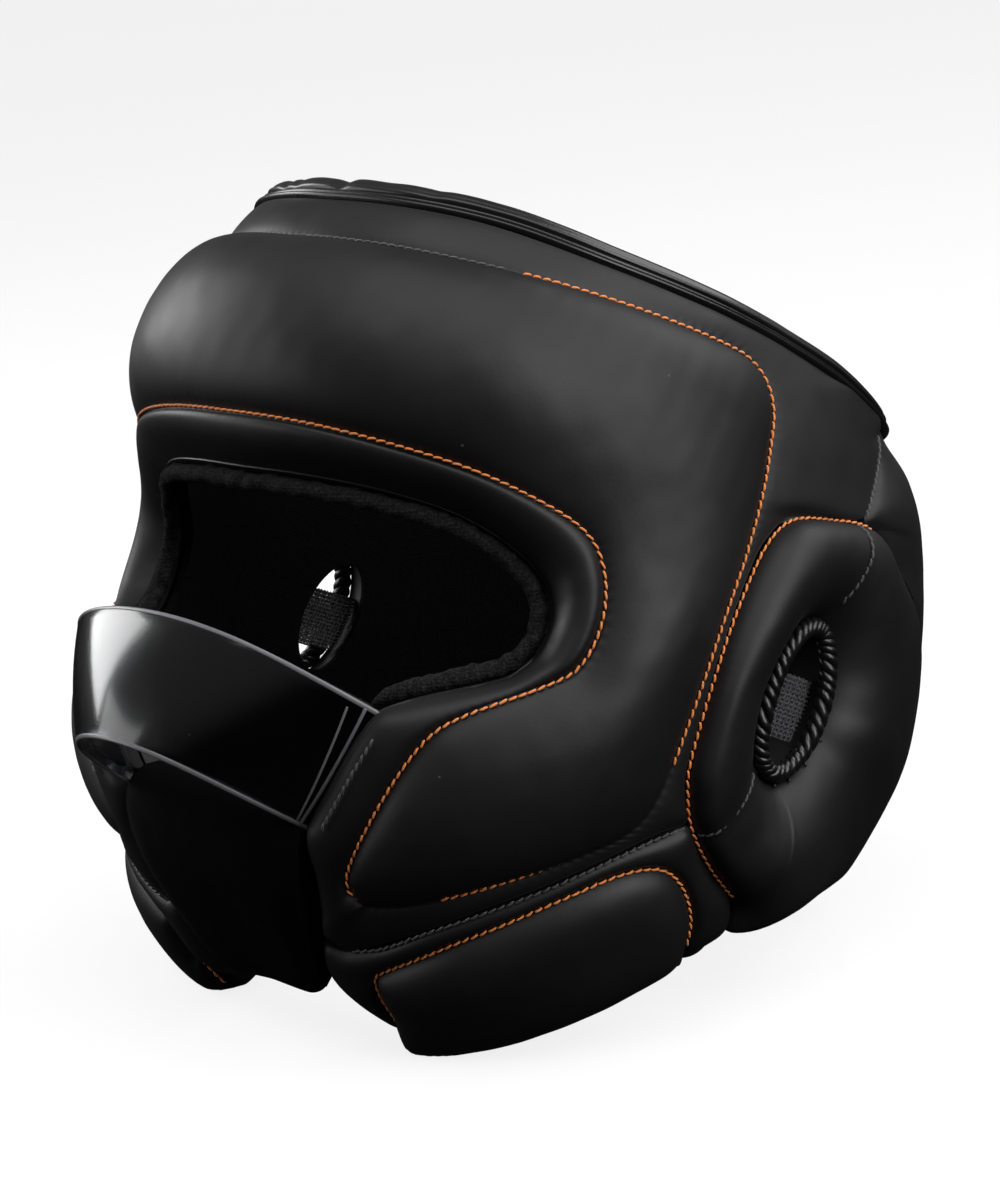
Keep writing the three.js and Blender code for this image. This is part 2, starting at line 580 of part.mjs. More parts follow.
/** Clear face bar, bowed out in front of the mouth; grow thickens it all round for its pocket. */
function faceBar(grow = 0) {
  const curves = [0, 3].map((column) => {
    const left = BAR_RIBS.map((row) => new THREE.Vector3(...row.slice(column, column + 3)));
    const right = left.slice(1).reverse().map((point) => new THREE.Vector3(-point.x, point.y, point.z));
    return new THREE.CatmullRomCurve3([...right, ...left], false, 'centripetal');
  });
  const half = BAR_THICK / 2 + grow;
  const [round, bow] = [1.3, 1.6];
  const count = 26;
  const sections = steps(count).map((t, i) => {
    const [top, low] = curves.map((curve) => curve.getPoint(t));
    const along = curves[0].getTangent(t).add(curves[1].getTangent(t)).normalize();
    const down = low.clone().sub(top);
    const height = down.length();
    down.normalize();
    const out = down.clone().cross(along).normalize();
    const end = grow * (Number(i === count) - Number(i === 0));
    const put = (drop, lift) => top.clone().addScaledVector(down, drop).addScaledVector(out, lift)
      .addScaledVector(along, end);
    return [
      put(-grow, -half + round), put(-grow, half - round), put(round - grow, half),
      put(height / 2, half + bow),
      put(height + grow - round, half), put(height + grow, half - round),
      put(height + grow, -half + round), put(height + grow - round, -half),
      put(height / 2, -half + bow), put(round - grow, -half),
    ];
  });
  return loft(sections, false);
}

/** Whip-stitched cord round an ear hole. */
function earRope(side) {
  const path = earHole(24, -EAR_HOLE_ROPE).map((seam) => shellPoint(side > 0 ? seam : mirror(seam), -6.2));
  return cord(path, EAR_HOLE_ROPE, 6, true);
}

/** Mesh band across the middle of an ear hole, sewn behind the cord. */
function earMesh(side) {
  const { from, to, depth, thick } = EAR_MESH;
  const ribs = steps(4, from, to).map((lat) => {
    const level = (lat - EAR_HOLE.lat) / EAR_HOLE.long;
    const reach = EAR_HOLE.wide * Math.sqrt(1 - level ** 2) - 0.3;
    const middle = EAR_HOLE.turn + (lat - EAR_HOLE.lat) * Math.tan(radians(EAR_HOLE.lean));
    return { a: [middle - reach, lat], b: [middle + reach, lat] };
  });
  const wall = depth + thick;
  return panel(onSide(ribs, side), { across: 3, height: () => -depth, wall, gap: 0, inside: 3 });
}

/** Hook-and-loop strap that closes the back. */
function backStrap() {
  const { turn, low, high, lift, thick } = BACK_STRAP;
  const ribs = steps(10, 180 - turn, 180 + turn).map((at) => ({ a: [at, low], b: [at, high] }));
  return panel(ribs, { across: 3, height: () => lift + thick, wall: -lift, gap: 0, inside: 3 });
}

// Assembly

/** Stands the headgear on its jaw and nape, and flattens what rests on the surface. */
function stand(pieces) {
  const turn = new THREE.Matrix4().makeRotationX(-radians(REST_PITCH));
  const box = new THREE.Box3();
  for (const { geometry } of pieces) {
    geometry.applyMatrix4(turn);
    geometry.computeBoundingBox();
    box.union(geometry.boundingBox);
  }
  const middle = box.getCenter(new THREE.Vector3());
  for (const { geometry } of pieces) {
    geometry.translate(-middle.x, -middle.y, REST_LEVEL);
    const { position } = geometry.attributes;
    for (let i = 0; i < position.count; i += 1) position.setZ(i, Math.max(position.getZ(i), 0));
    geometry.computeVertexNormals();
  }
}

const SIDES = { left: 1, right: -1 };
const pieces = [
  { name: 'front_pad', geometry: frontPad(), material: leather },
  { name: 'shell_panel', geometry: cut(shellPanel(), faceBar(BAR_POCKET)), material: leather },
  { name: 'crown_rim', geometry: crownRing(RIM_SECTION, CROWN_STEPS), material: gloss },
  { name: 'crown_piping', geometry: crownRing(PIPING_SECTION, CROWN_STEPS), material: gloss },
  { name: 'chin_piece', geometry: chinPiece(), material: fabric },
  { name: 'lining', geometry: lining(), material: fabric },
  { name: 'lining_roll', geometry: liningRoll(), material: fabric },
  { name: 'face_bar', geometry: faceBar(), material: clear },
  { name: 'back_strap', geometry: backStrap(), material: leather },
];
for (const [name, side] of Object.entries(SIDES)) {
  pieces.push(
    { name: `ear_pad_${name}`, geometry: earPad(side), material: leather },
    { name: `ear_rope_${name}`, geometry: earRope(side), material: gloss },
    { name: `ear_mesh_${name}`, geometry: earMesh(side), material: fabric },
    { name: `jaw_panel_${name}`, geometry: jawPanel(side), material: leather },
    { name: `jaw_pad_${name}`, geometry: jawPad(side), material: leather },
    { name: `back_panel_${name}`, geometry: backPanel(side), material: leather },
  );
}
stand(pieces);

const headgear = new THREE.Group();
for (const { name, geometry, material } of pieces) {
  const mesh = new THREE.Mesh(geometry, material);
  mesh.name = name;
  headgear.add(mesh);
}

export default headgear;
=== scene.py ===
"""Boxing headgear with a clear face bar: its visible pieces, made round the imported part's fixed frame.

Sizes are in millimetres and angles in degrees until a piece is placed, when it goes to metres.
A seam point is a pair: turn from the middle of the face towards the wearer's left, and latitude.
"""

from __future__ import annotations

import logging
import math
from dataclasses import dataclass
from enum import Enum
from typing import Callable, Sequence

import bpy
import numpy as np
from mathutils import Matrix, Vector
from mathutils.kdtree import KDTree

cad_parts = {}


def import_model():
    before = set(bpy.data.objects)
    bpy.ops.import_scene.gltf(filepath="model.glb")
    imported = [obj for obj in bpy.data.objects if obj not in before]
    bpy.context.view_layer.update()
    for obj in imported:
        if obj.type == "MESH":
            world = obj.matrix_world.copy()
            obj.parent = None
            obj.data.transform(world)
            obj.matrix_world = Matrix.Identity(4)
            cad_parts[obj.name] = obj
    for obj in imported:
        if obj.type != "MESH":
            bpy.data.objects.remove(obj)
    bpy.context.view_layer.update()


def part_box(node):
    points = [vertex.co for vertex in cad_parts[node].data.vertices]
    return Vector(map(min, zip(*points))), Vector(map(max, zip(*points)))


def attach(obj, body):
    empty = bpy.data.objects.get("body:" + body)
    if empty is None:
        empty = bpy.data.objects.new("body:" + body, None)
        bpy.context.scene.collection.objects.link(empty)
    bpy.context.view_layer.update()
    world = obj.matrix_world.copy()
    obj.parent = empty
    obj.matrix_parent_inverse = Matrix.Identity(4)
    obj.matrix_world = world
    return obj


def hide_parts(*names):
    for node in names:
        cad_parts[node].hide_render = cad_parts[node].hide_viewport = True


LOG = logging.getLogger("headgear")
MM = 0.001
BODY = "root"
FULL_TURN = 2 * math.pi
CRISP_ANGLE = math.radians(50.0)    # edges sharper than this stay crisp
WHITE = (1.0, 1.0, 1.0, 1.0)
THREAD_MAP = "thread"               # UV map along and round a thread

Array = np.ndarray
Piece = bpy.types.Object
Node = bpy.types.Node
NodeTree = bpy.types.NodeTree
Socket = bpy.types.NodeSocket
Pair = tuple[float, float]
Colour = tuple[float, float, float]
Run = tuple[Array, Array]    # seam points of a row of stitches, and their extra heights

# Build of the padded wall
WALL = 17.0           # foam and leather, from a seam valley in to the lining
LINING_SPACE = 1.3
LINING_THICK = 2.0
VALLEY = -1.2         # how deep a sewn seam sits under the shell line
SEAM_GAP = 0.06       # between two panels sewn side by side
STITCH_LAND = 0.55    # flat strip beside a stitch, before a pad's flank rises
EDGE_ROLL = 10.0      # width of a rolled free edge
EAR_FILL = 6.6        # how far the seam behind the ear is filled up, where no thread pulls it in
TOP_FILL = 2.0        # the same for the seams that run from the top of the ear to the rim
LOW_EDGE_DROP = 8.0
ROW_STEP = 0.85       # spacing of the mesh rows along a seam
LEAST_ROWS = 8
FINE_STEPS = 6000     # points at which a seam is measured before its rows are spaced
BACK_COLUMNS = 7      # mesh columns over a panel's back
EASING_ROUNDS = 60    # how often each point of a height field moves towards its neighbours
ROUND = 2.0           # softness of a round flank

# Radius of the shell line by latitude: at the face, the ear and the back of the head
SHELL = np.array([
    (-75, 110, 118, 118), (-60, 110, 120, 120), (-48, 110, 119, 120), (-32, 113, 113, 114),
    (-16, 116, 108, 112), (0, 119, 107, 113), (20, 126, 110, 119), (34, 138, 117, 123),
    (41, 144, 122, 126), (52, 150, 131, 130),
], float)

# Eye side of the front pad, from the middle of the brow to the foot of the cheek.
# Columns: free edge turn and latitude, pad stitch turn and latitude, drop of the rolled edge.
BROW_RIBS = np.array([
    (0, 16.4, 0, 20.5, 12), (12, 16.6, 12, 20.5, 12), (24, 16.8, 25, 20.3, 12), (34.4, 16.4, 37, 19.9, 12),
    (41.5, 15, 46, 18.8, 12), (47, 12.9, 52, 17.4, 12), (50.3, 10.5, 55.4, 15.3, 12),
    (51.8, 8, 57.4, 12, 12), (52.3, 5.8, 58.2, 9, 12), (52.3, 3.9, 58.4, 6.5, 12), (52, 2.3, 58.2, 4, 12),
    (51.6, 0.8, 57.6, 1.5, 12), (51, -0.5, 56.4, -0.9, 12), (50, -1.9, 54.2, -2.9, 11),
    (48.3, -3.7, 51, -5.2, 10), (45.3, -5.4, 47.5, -7.5, 10), (41, -7.5, 44, -9.9, 9),
    (36, -9.9, 41, -12.5, 7), (32, -12.6, 39, -15.5, 3), (29.8, -17.2, 37.5, -18.6, 2),
    (28, -21.6, 36.2, -21.7, 2), (26.5, -25, 35, -24.8, 2), (24.9, -28.2, 33.9, -27.8, 2),
    (23.4, -31, 32.8, -30.8, 3), (23, -34, 31.9, -33.7, 6), (23.8, -37, 31.5, -36, 7),
    (24.2, -40.4, 32.2, -37.9, 7),
], float)

# Foot of the cheek: free edge, pad stitch and drop, in the same columns
CORNER_RIBS = np.array([
    (24.2, -44.6, 33.2, -38.3, 7), (24.4, -48.9, 34.2, -38.6, 5), (29, -48.7, 35.1, -38.9, 0),
], float)

# Outer side of the front pad, from the middle of the crown to the foot of the cheek.
# Columns: pad stitch turn and latitude, outer seam turn and latitude.
SIDE_RIBS = np.array([
    (0, 41, 0, 46.2), (14, 41.2, 14, 46.4), (28, 42, 28, 47), (44, 43.8, 44, 47.8), (58, 45.4, 59, 48.9),
    (69, 46.3, 72, 49.9), (76.5, 46.3, 86, 50), (81, 44.4, 103, 48.2), (82.6, 41, 119.3, 45.8),
    (82, 36, 112.8, 38.8), (81, 30.5, 106.3, 31.7), (80.2, 26.5, 97, 30.9), (79.5, 23.2, 88.2, 29),
    (78.8, 20, 83, 24.4), (78, 17, 80.5, 19.2), (76.7, 11, 78.4, 11.5), (75.7, 4, 77.3, 4),
    (75, -3, 77.1, -3.2), (74.5, -9.4, 77.4, -9.6), (74.1, -13.6, 78.8, -13.4), (73, -17.6, 80.9, -16.5),
    (70.4, -21, 76, -19.5), (66, -24, 69.4, -24.2), (60, -27.8, 62.6, -29.1), (51, -33.1, 53.3, -35.3),
    (42, -37.4, 43.5, -42), (36, -39.2, 34.2, -47.5),
], float)

# Which row of the pad stitch above faces each row of the eye side, straight across the pad
FACING_ROWS = np.array([
    (0, 0), (2, 2.6), (4, 6), (6, 9.6), (8, 13.6), (10, 16.2), (12, 18.2), (14, 19.9), (16, 21.3), (20, 23.1),
    (24, 25), (26, 26),
], float)

# Stitch round the ear pad, from the bottom of its front leg over the top and round by the edge below
EAR_STITCH = np.array([
    (100.5, -31), (97.9, -26), (94.5, -24.5), (89.7, -22.6), (84.9, -19.8), (81.3, -16.7), (79.2, -13.4),
    (77.7, -9.6), (77.3, -4), (77.5, 3), (78.6, 11), (80.9, 18.8), (84, 24.8), (88.5, 28.4), (96, 30.1),
    (104.5, 30.7), (110.5, 29.7), (115, 26.6), (120, 23.4), (125.3, 20), (130, 14.8), (132.8, 8), (133.6, -2),
    (132, -10), (128, -16.8), (122, -20.8), (115, -24.6), (107.5, -28.2),
], float)

# Jaw, from the chin to the ear. Columns: seam above or free edge in front, the jaw pad's stitch, and the
# lower edge under the pad, which the first and last rows lack.
JAW_RIBS = np.array([
    (24.5, -61.5, 49, -66, 0, 0), (23.6, -57, 44, -59.5, 52.5, -66.5), (23.7, -53, 39.8, -55.8, 54.5, -66.4),
    (25.6, -49.6, 38, -52.2, 56.5, -65.9), (31, -49, 40, -49.9, 58.5, -65.2),
    (38.5, -46, 45.2, -45.9, 61, -63.8), (46, -40.8, 51.5, -40.9, 64.5, -61.8),
    (54.5, -35.2, 58.5, -35.8, 69, -58.8), (62.5, -29.8, 65, -31, 73.5, -55.5),
    (70.3, -24.2, 71.8, -26.4, 78, -51.7), (76.5, -19.9, 76.5, -24.4, 82, -48.2),
    (81.3, -17.2, 80.3, -24, 85.5, -45), (85.2, -20.5, 83.8, -25.1, 88, -42.7),
    (90.2, -23.3, 87.3, -27.4, 90, -40.9), (95.5, -25.3, 90.3, -30.4, 91.6, -39.5),
    (99, -28.6, 92.3, -34, 92.8, -38.4), (100.4, -32, 93.6, -37.6, 0, 0),
], float)

# Back of the head. Columns: ear stitch and crown side, then the opening at the middle of the back.
BACK_RIBS = np.array([
    (128.1, -17.4, 178.6, -27), (131.4, -12, 178.6, -18), (133.5, -5, 178.6, -9.5), (133.9, 1.5, 178.6, 0),
    (133.1, 8.1, 178.6, 7.5), (130.3, 15, 178.6, 14.5), (122.8, 22, 178.6, 21), (115.3, 26.8, 178.6, 26),
    (110.9, 29.9, 178.6, 29), (106.7, 31.3, 178.6, 32), (109.8, 35.2, 178.6, 36), (114, 39.9, 178.6, 40),
    (119.3, 45.3, 178.6, 44.2),
], float)

# Crown rim and lower edge, latitude by turn
RIM_LAT = np.array([
    (0, 46.2), (16, 46.4), (32, 47.2), (47, 47.9), (63, 49.3), (74, 50), (86, 50), (100, 48.6), (114, 46.5),
    (127, 45.2), (150, 44.6), (180, 44.5),
], float)
LOWER_LAT = np.array([
    (0, -59.5), (24, -60.5), (32, -64), (42, -65.8), (52, -65.8), (60, -64), (68, -59.3), (75, -54.2),
    (81, -48.9), (86, -44.4), (92, -38.8), (98, -34.3), (104, -30), (111, -26.4), (118, -22.8), (127, -18.6),
    (150, -21.5), (180, -25.5),
], float)

# Face bar in the rim's frame, from its middle to the end in the cheek: top edge, then bottom edge
BAR_RIBS = np.array([
    (0, -121.5, -12.3, 0, -125.3, -47.3), (21, -121, -13.8, 14, -123.3, -48.3),
    (42, -113, -16.6, 25, -113.5, -50.3), (52, -99.5, -20.7, 32, -101, -53.2),
    (57, -91, -23, 35, -88, -55.2), (61, -83.5, -25, 36.6, -79, -56.8),
], float)
BAR_COLUMNS = (0, 3)    # where the two edges start in a row


# Curves and fields

def smooth(rows: Array, x: Array, column: int = 1) -> Array:
    """Reads one column of a table as a smooth curve through its rows.

    Args:
        rows: table whose first column rises.
        x: where to read it.
        column: the column to read.

    Returns:
        The values at x.
    """
    xs, ys = rows[:, 0], rows[:, column]
    last = len(xs) - 1
    at = np.clip(x, xs[0], xs[-1])
    i = np.clip(np.searchsorted(xs, at) - 1, 0, last - 1)
    before, after = np.maximum(np.arange(last + 1) - 1, 0), np.minimum(np.arange(last + 1) + 1, last)
    slope = (ys[after] - ys[before]) / (xs[after] - xs[before])
    width = xs[i + 1] - xs[i]
    t = (at - xs[i]) / width
    t2, t3 = t * t, t ** 3
    return ((2 * t3 - 3 * t2 + 1) * ys[i] + (t3 - 2 * t2 + t) * width * slope[i]
            + (3 * t2 - 2 * t3) * ys[i + 1] + (t3 - t2) * width * slope[i + 1])


def spline(points: Array, t: Array) -> Array:
    """Curve through points, as seam tables are read.

    Args:
        points: the points in order.
        t: places on the curve, 0 at the first point and 1 at the last.

    Returns:
        One point for each t.
    """
    last = len(points) - 1
    at = np.clip(t, 0, 1) * last
    i = np.minimum(at.astype(int), last - 1)
    w = (at - i)[:, None]
    a, b = points[i], points[i + 1]
    before, after = points[np.maximum(i - 1, 0)], points[np.minimum(i + 2, last)]
    va, vb = (b - before) / 2, (after - a) / 2
    return (2 * a - 2 * b + va + vb) * w ** 3 + (3 * b - 3 * a - 2 * va - vb) * w ** 2 + va * w + a


def smoothstep(x: Array, low: float, high: float) -> Array:
    """Soft step from 0 at low to 1 at high."""
    t = np.clip((x - low) / (high - low), 0, 1)
    return t * t * (3 - 2 * t)


def flank(distance: Array, width: Array, softness: float = 1.45) -> Array:
    """Rounded flank of a pad.

    Args:
        distance: how far from the stitch.
        width: how far the flank reaches.
        softness: 2 is a round flank, 1 a flat one.

    Returns:
        0 at the stitch, 1 from the flank's width on.
    """
    t = 1 - np.clip((distance - STITCH_LAND) / width, 0, 1)
    return (1 - t * t) ** (1 / softness)


def mirrored(seams: Array) -> Array:
    """Seam points of the wearer's right, from those of the left."""
    return seams * np.array([-1.0, 1.0])


def arc(points: Array) -> Array:
    """Length along a row of points, from its first point."""
    return np.concatenate([[0.0], np.cumsum(np.linalg.norm(np.diff(points, axis=0), axis=1))])


def read_along(path: Array, run: Array, at: Array) -> Array:
    """Points at lengths along a path, from its own points and their lengths."""
    return np.stack([np.interp(at, run, column) for column in path.T], -1)


def unit(vectors: Array) -> Array:
    """Vectors at a length of 1."""
    return vectors / np.linalg.norm(vectors, axis=-1, keepdims=True)


def fall(distance: Array, width: float = EDGE_ROLL) -> Array:
    """Round fall at an edge: 1 at the edge, 0 from its width on."""
    return 1 - flank(distance, width, ROUND)


def over(side: Array, rise: Array, fill: Array) -> Array:
    """Height of a flank between a filled seam, where side is 0, and the full pad, where it is 1."""
    return rise * side + fill * (1 - side)


def round_angles(count: int) -> Array:
    """Even angles once round, the last left out."""
    return np.linspace(0, FULL_TURN, count, endpoint=False)


def rings(across: Array, upright: Array, angle: Array) -> Array:
    """Directions round each point of a path, at angles from across to upright."""
    cos, sin = (f(angle)[None, :, None] for f in (np.cos, np.sin))
    return across[:, None] * cos + upright[:, None] * sin


def level_run(seams: Array, height: float = 0.0) -> Run:
    """Row of stitches at one extra height."""
    return seams, np.full(len(seams), height)


class WaveField:
    """Smooth unevenness of stuffed leather: a sum of plane waves, the same on every run."""

    def __init__(self, seed: int, wavelength: float, count: int = 14) -> None:
        """Draws the waves' directions, lengths and phases.

        Args:
            seed: which unevenness.
            wavelength: middle wavelength.
            count: number of waves.
        """
        rng = np.random.default_rng(seed)
        way = unit(rng.normal(size=(count, 3)))
        self.waves = way * (FULL_TURN / (wavelength * rng.uniform(0.7, 1.5, (count, 1))))
        self.phase = rng.uniform(0, FULL_TURN, count)
        self.scale = 1 / math.sqrt(count / 2)

    def __call__(self, points: Array) -> Array:
        """Value of about -1 to 1 at each point."""
        return self.scale * np.sin(points @ self.waves.T + self.phase).sum(-1)


@dataclass(frozen=True)
class HeadForm:
    """Shell line of the headgear and how it stands on the surface.

    Attributes:
        forward: shift along Y that centres the footprint.
        pitch: front up from the rim's own frame.
        level: height of the ear axis over the surface.
        roundness: superellipse exponent of the head's plan.
    """

    forward: float = 0.0
    pitch: float = 27.2
    level: float = 79.9
    roundness: float = 2.15

    def radius(self, seams: Array) -> Array:
        """Radius of the shell line.

        Args:
            seams: seam points.

        Returns:
            One radius for each.
        """
        turn, lat = np.radians(seams[..., 0]), seams[..., 1]
        ahead = np.cos(turn)
        length = np.where(ahead > 0, smooth(SHELL, lat, 1), smooth(SHELL, lat, 3))
        across = np.abs(np.sin(turn)) / smooth(SHELL, lat, 2)
        power = self.roundness
        return (across ** power + (np.abs(ahead) / length) ** power) ** (-1 / power)

    @staticmethod
    def rays(seams: Array) -> Array:
        """Outward directions at seam points, in the rim's frame."""
        turn, lat = np.radians(seams[..., 0]), np.radians(seams[..., 1])
        return np.stack([np.cos(lat) * np.sin(turn), -np.cos(lat) * np.cos(turn), np.sin(lat)], -1)

    def surface(self, seams: Array, offset: Array | float = 0.0) -> Array:
        """Points at an offset from the shell line, in the rim's frame."""
        return self.rays(seams) * (self.radius(seams) + offset)[..., None]

    def turned(self, vectors: Array) -> Array:
        """Directions of the rim's frame as directions of the part."""
        c, s = math.cos(math.radians(self.pitch)), math.sin(math.radians(self.pitch))
        x, y, z = vectors[..., 0], vectors[..., 1], vectors[..., 2]
        return np.stack([x, y * c + z * s, z * c - y * s], -1)

    def place(self, points: Array, rests: bool = True) -> Array:
        """Points of the rim's frame in the part's frame.

        Args:
            points: in millimetres.
            rests: flatten what reaches the surface.

        Returns:
            Points in metres.
        """
        placed = self.turned(points) + np.array([0.0, self.forward, self.level])
        if rests:
            placed[..., 2] = np.maximum(placed[..., 2], 0.0)
        return placed * MM


def rim_lat(turn: Array) -> Array:
    """Latitude of the rim seam at signed turns."""
    return smooth(RIM_LAT, np.abs(turn))


def signed_turns(count: int) -> Array:
    """Turns once round the head, from -180 to 180, the last left out."""
    return np.linspace(-180, 180, count, endpoint=False)


def under_rim(seams: Array) -> Array:
    """Keeps seam points just under the crown rim."""
    return np.stack([seams[:, 0], np.minimum(seams[:, 1], rim_lat(seams[:, 0]) - 0.1)], -1)


def back_fill(seams: Array) -> Array:
    """How far the seams behind and above the ear are filled up.

    Args:
        seams: seam points.

    Returns:
        One height for each seam point, 0 away from the back of the head.
    """
    turn, lat = np.abs(seams[..., 0]), seams[..., 1]
    upper = smoothstep(lat, 10, 25)
    above = TOP_FILL * smoothstep(turn, 98, 108) * upper * (1 - 0.6 * smoothstep(lat, 41, 45))
    behind = (EAR_FILL - TOP_FILL * upper) * smoothstep(turn, 108, 124)
    return above + behind * (1 - smoothstep(lat, 30.5, 34)) * (1 - 0.55 * smoothstep(-lat, -4, 16))


# Meshes

def new_object(name: str, points: Array, faces: Sequence[Sequence[int]]) -> Piece:
    """Makes a smooth mesh object at the origin.

    Args:
        name: the piece's name.
        points: in metres.
        faces: rows of point numbers.

    Returns:
        The new object.
    """
    mesh = bpy.data.meshes.new(name)
    mesh.from_pydata(points.reshape(-1, 3).tolist(), [], faces)
    mesh.polygons.foreach_set("use_smooth", np.ones(len(mesh.polygons), bool))
    mesh.update()
    piece = bpy.data.objects.new(name, mesh)
    bpy.context.scene.collection.objects.link(piece)
    return piece


def select_only(piece: Piece) -> None:
    """Makes a piece the only selected and the active one.

    Args:
        piece: the piece.
    """
    bpy.ops.object.select_all(action="DESELECT")
    piece.select_set(True)
    bpy.context.view_layer.objects.active = piece


def crisp_edges(piece: Piece) -> None:
    """Keeps a piece's sharp edges crisp in the smooth shading."""
    select_only(piece)
    bpy.ops.object.shade_smooth_by_angle(angle=CRISP_ANGLE)


def loft(name: str, rows: Array, closed: bool) -> Piece:
    """Closed body swept through closed sections.

    Args:
        name: the piece's name.
        rows: sections by points by coordinates, in metres.
        closed: whether the last section meets the first.

    Returns:
        The new object, with its faces pointing out.
    """
    count, size, _ = rows.shape
    here = np.arange(count * size).reshape(count, size)
    ahead, beside = np.roll(here, -1, 0), np.roll(here, -1, 1)
    quads = np.stack([here, ahead, np.roll(ahead, -1, 1), beside], -1)
    quads = (quads if closed else quads[:-1]).reshape(-1, 4)
    caps = [] if closed else [here[0], here[-1][::-1]]
    points = rows.reshape(-1, 3)
    a, b, c, d = (points[quads[:, k]] for k in range(4))
    volume = float((a * np.cross(b, c)).sum() + (a * np.cross(c, d)).sum())
    for cap in caps:
        fan = points[cap]
        volume += float((fan[0] * np.cross(fan[1:-1], fan[2:])).sum())
    if volume < 0:
        quads, caps = quads[:, ::-1], [cap[::-1] for cap in caps]
    return new_object(name, points, quads.tolist() + [cap.tolist() for cap in caps])


def joined_pieces(name: str, pieces: Sequence[Piece]) -> Piece:
    """Joins meshes into one piece.

    Args:
        name: the joined piece's name.
        pieces: what to join.

    Returns:
        The piece.
    """
    select_only(pieces[0])
    for piece in pieces[1:]:
        piece.select_set(True)
    bpy.ops.object.join()
    pieces[0].name = pieces[0].data.name = name
    return pieces[0]


def sweep_frame(path: Array, closed: bool) -> tuple[Array, Array]:
    """Sideways and upright directions along a path round the head.

    Args:
        path: points in the rim's frame.
        closed: whether the path runs round.

    Returns:
        The sideways and the upright directions.
    """
    along = np.roll(path, -1, 0) - np.roll(path, 1, 0) if closed else np.gradient(path, axis=0)
    along = unit(along)
    across = unit(np.cross(along, unit(path)))
    return across, np.cross(across, along)


def tube(path: Array, radius: float, around: int, closed: bool) -> Array:
    """Round sections along a path.

    Args:
        path: points in the rim's frame.
        radius: radius of the sections.
        around: points round a section.
        closed: whether the path runs round.

    Returns:
        Sections by points by coordinates.
    """
    return path[:, None] + radius * rings(*sweep_frame(path, closed), round_angles(around))


def cut(piece: Piece, tool: Piece) -> None:
    """Cuts a tool away from a piece and deletes the tool.

    Args:
        piece: what is cut.
        tool: what is cut away.
    """
    select_only(piece)
    modifier = piece.modifiers.new("cut", "BOOLEAN")
    modifier.operation, modifier.solver, modifier.object = "DIFFERENCE", "EXACT", tool
    bpy.ops.object.modifier_apply(modifier=modifier.name)
    bpy.data.objects.remove(tool)


# Finishes

class Nodes:
    """Short way to write a node tree."""

    def __init__(self, tree: NodeTree) -> None:
        """Works on one tree."""
        self.tree = tree

    def add(self, kind: str, **settings: object) -> Node:
        """Adds a node.

        Args:
            kind: the node's type name.
            settings: its own properties, or values of inputs named with in_ before them.

        Returns:
            The node.
        """
        node = self.tree.nodes.new(kind)
        for key, value in settings.items():
            if key.startswith("in_"):
                node.inputs[key[3:].replace("_", " ")].default_value = value
            else:
                setattr(node, key, value)
        return node

    def join(self, source: Socket, target: Socket) -> None:
        """Links two sockets."""
        self.tree.links.new(source, target)

    def math(self, operation: str, first: object, second: object = 0.0) -> Socket:
        """Math node on sockets or plain numbers.

        Args:
            operation: the math operation.
            first: a socket or a number.
            second: a socket or a number.

        Returns:
            The result's socket.
        """
        node = self.add("ShaderNodeMath", operation=operation)
        for k, value in enumerate((first, second)):
            if isinstance(value, Socket):
                self.join(value, node.inputs[k])
            else:
                node.inputs[k].default_value = value
        return node.outputs[0]

    def ramp(self, value: Socket, low: float, high: float,
             to_low: float = 0.0, to_high: float = 1.0) -> Socket:
        """Maps a range of values to another, clamped.

        Args:
            value: the socket to map.
            low: start of the range.
            high: end of the range.
            to_low: value at the start.
            to_high: value at the end.

        Returns:
            The mapped socket.
        """
        node = self.add("ShaderNodeMapRange", interpolation_type="SMOOTHSTEP")
        self.join(value, node.inputs["Value"])
        for name, number in (("From Min", low), ("From Max", high), ("To Min", to_low), ("To Max", to_high)):
            node.inputs[name].default_value = number
        return node.outputs[0]

    def blend(self, mask: Socket, low: Colour | Socket,
              high: Colour) -> Socket:
        """Mixes two colours by a mask.

        Args:
            mask: 0 for the first colour, 1 for the second.
            low: the first colour, or its socket.
            high: the second colour.

        Returns:
            The colour's socket.
        """
        node = self.add("ShaderNodeMix", data_type="RGBA")
        self.join(mask, node.inputs["Factor"])
        if isinstance(low, Socket):
            self.join(low, node.inputs["A"])
        else:
            node.inputs["A"].default_value = (*low, 1.0)
        node.inputs["B"].default_value = (*high, 1.0)
        return next(s for s in node.outputs if s.type == "RGBA")


def node_group(name: str, inputs: Sequence[tuple[str, float]], outputs: Sequence[str],
               fill: Callable[[Nodes, Node, Node], None]) -> NodeTree:
    """Shader node group with named sockets, built once.

    Args:
        name: the group's name.
        inputs: input names and their usual values; the first socket is always Vector.
        outputs: names of the values it puts out.
        fill: makes the nodes between the group's input and output nodes.

    Returns:
        The group.
    """
    if name in bpy.data.node_groups:
        return bpy.data.node_groups[name]
    tree = bpy.data.node_groups.new(name, "ShaderNodeTree")
    tree.interface.new_socket("Vector", in_out="INPUT", socket_type="NodeSocketVector")
    for label, value in inputs:
        tree.interface.new_socket(label, in_out="INPUT", socket_type="NodeSocketFloat").default_value = value
    for label in outputs:
        tree.interface.new_socket(label, in_out="OUTPUT", socket_type="NodeSocketFloat")
    nodes = Nodes(tree)
    fill(nodes, nodes.add("NodeGroupInput"), nodes.add("NodeGroupOutput"))
    return tree


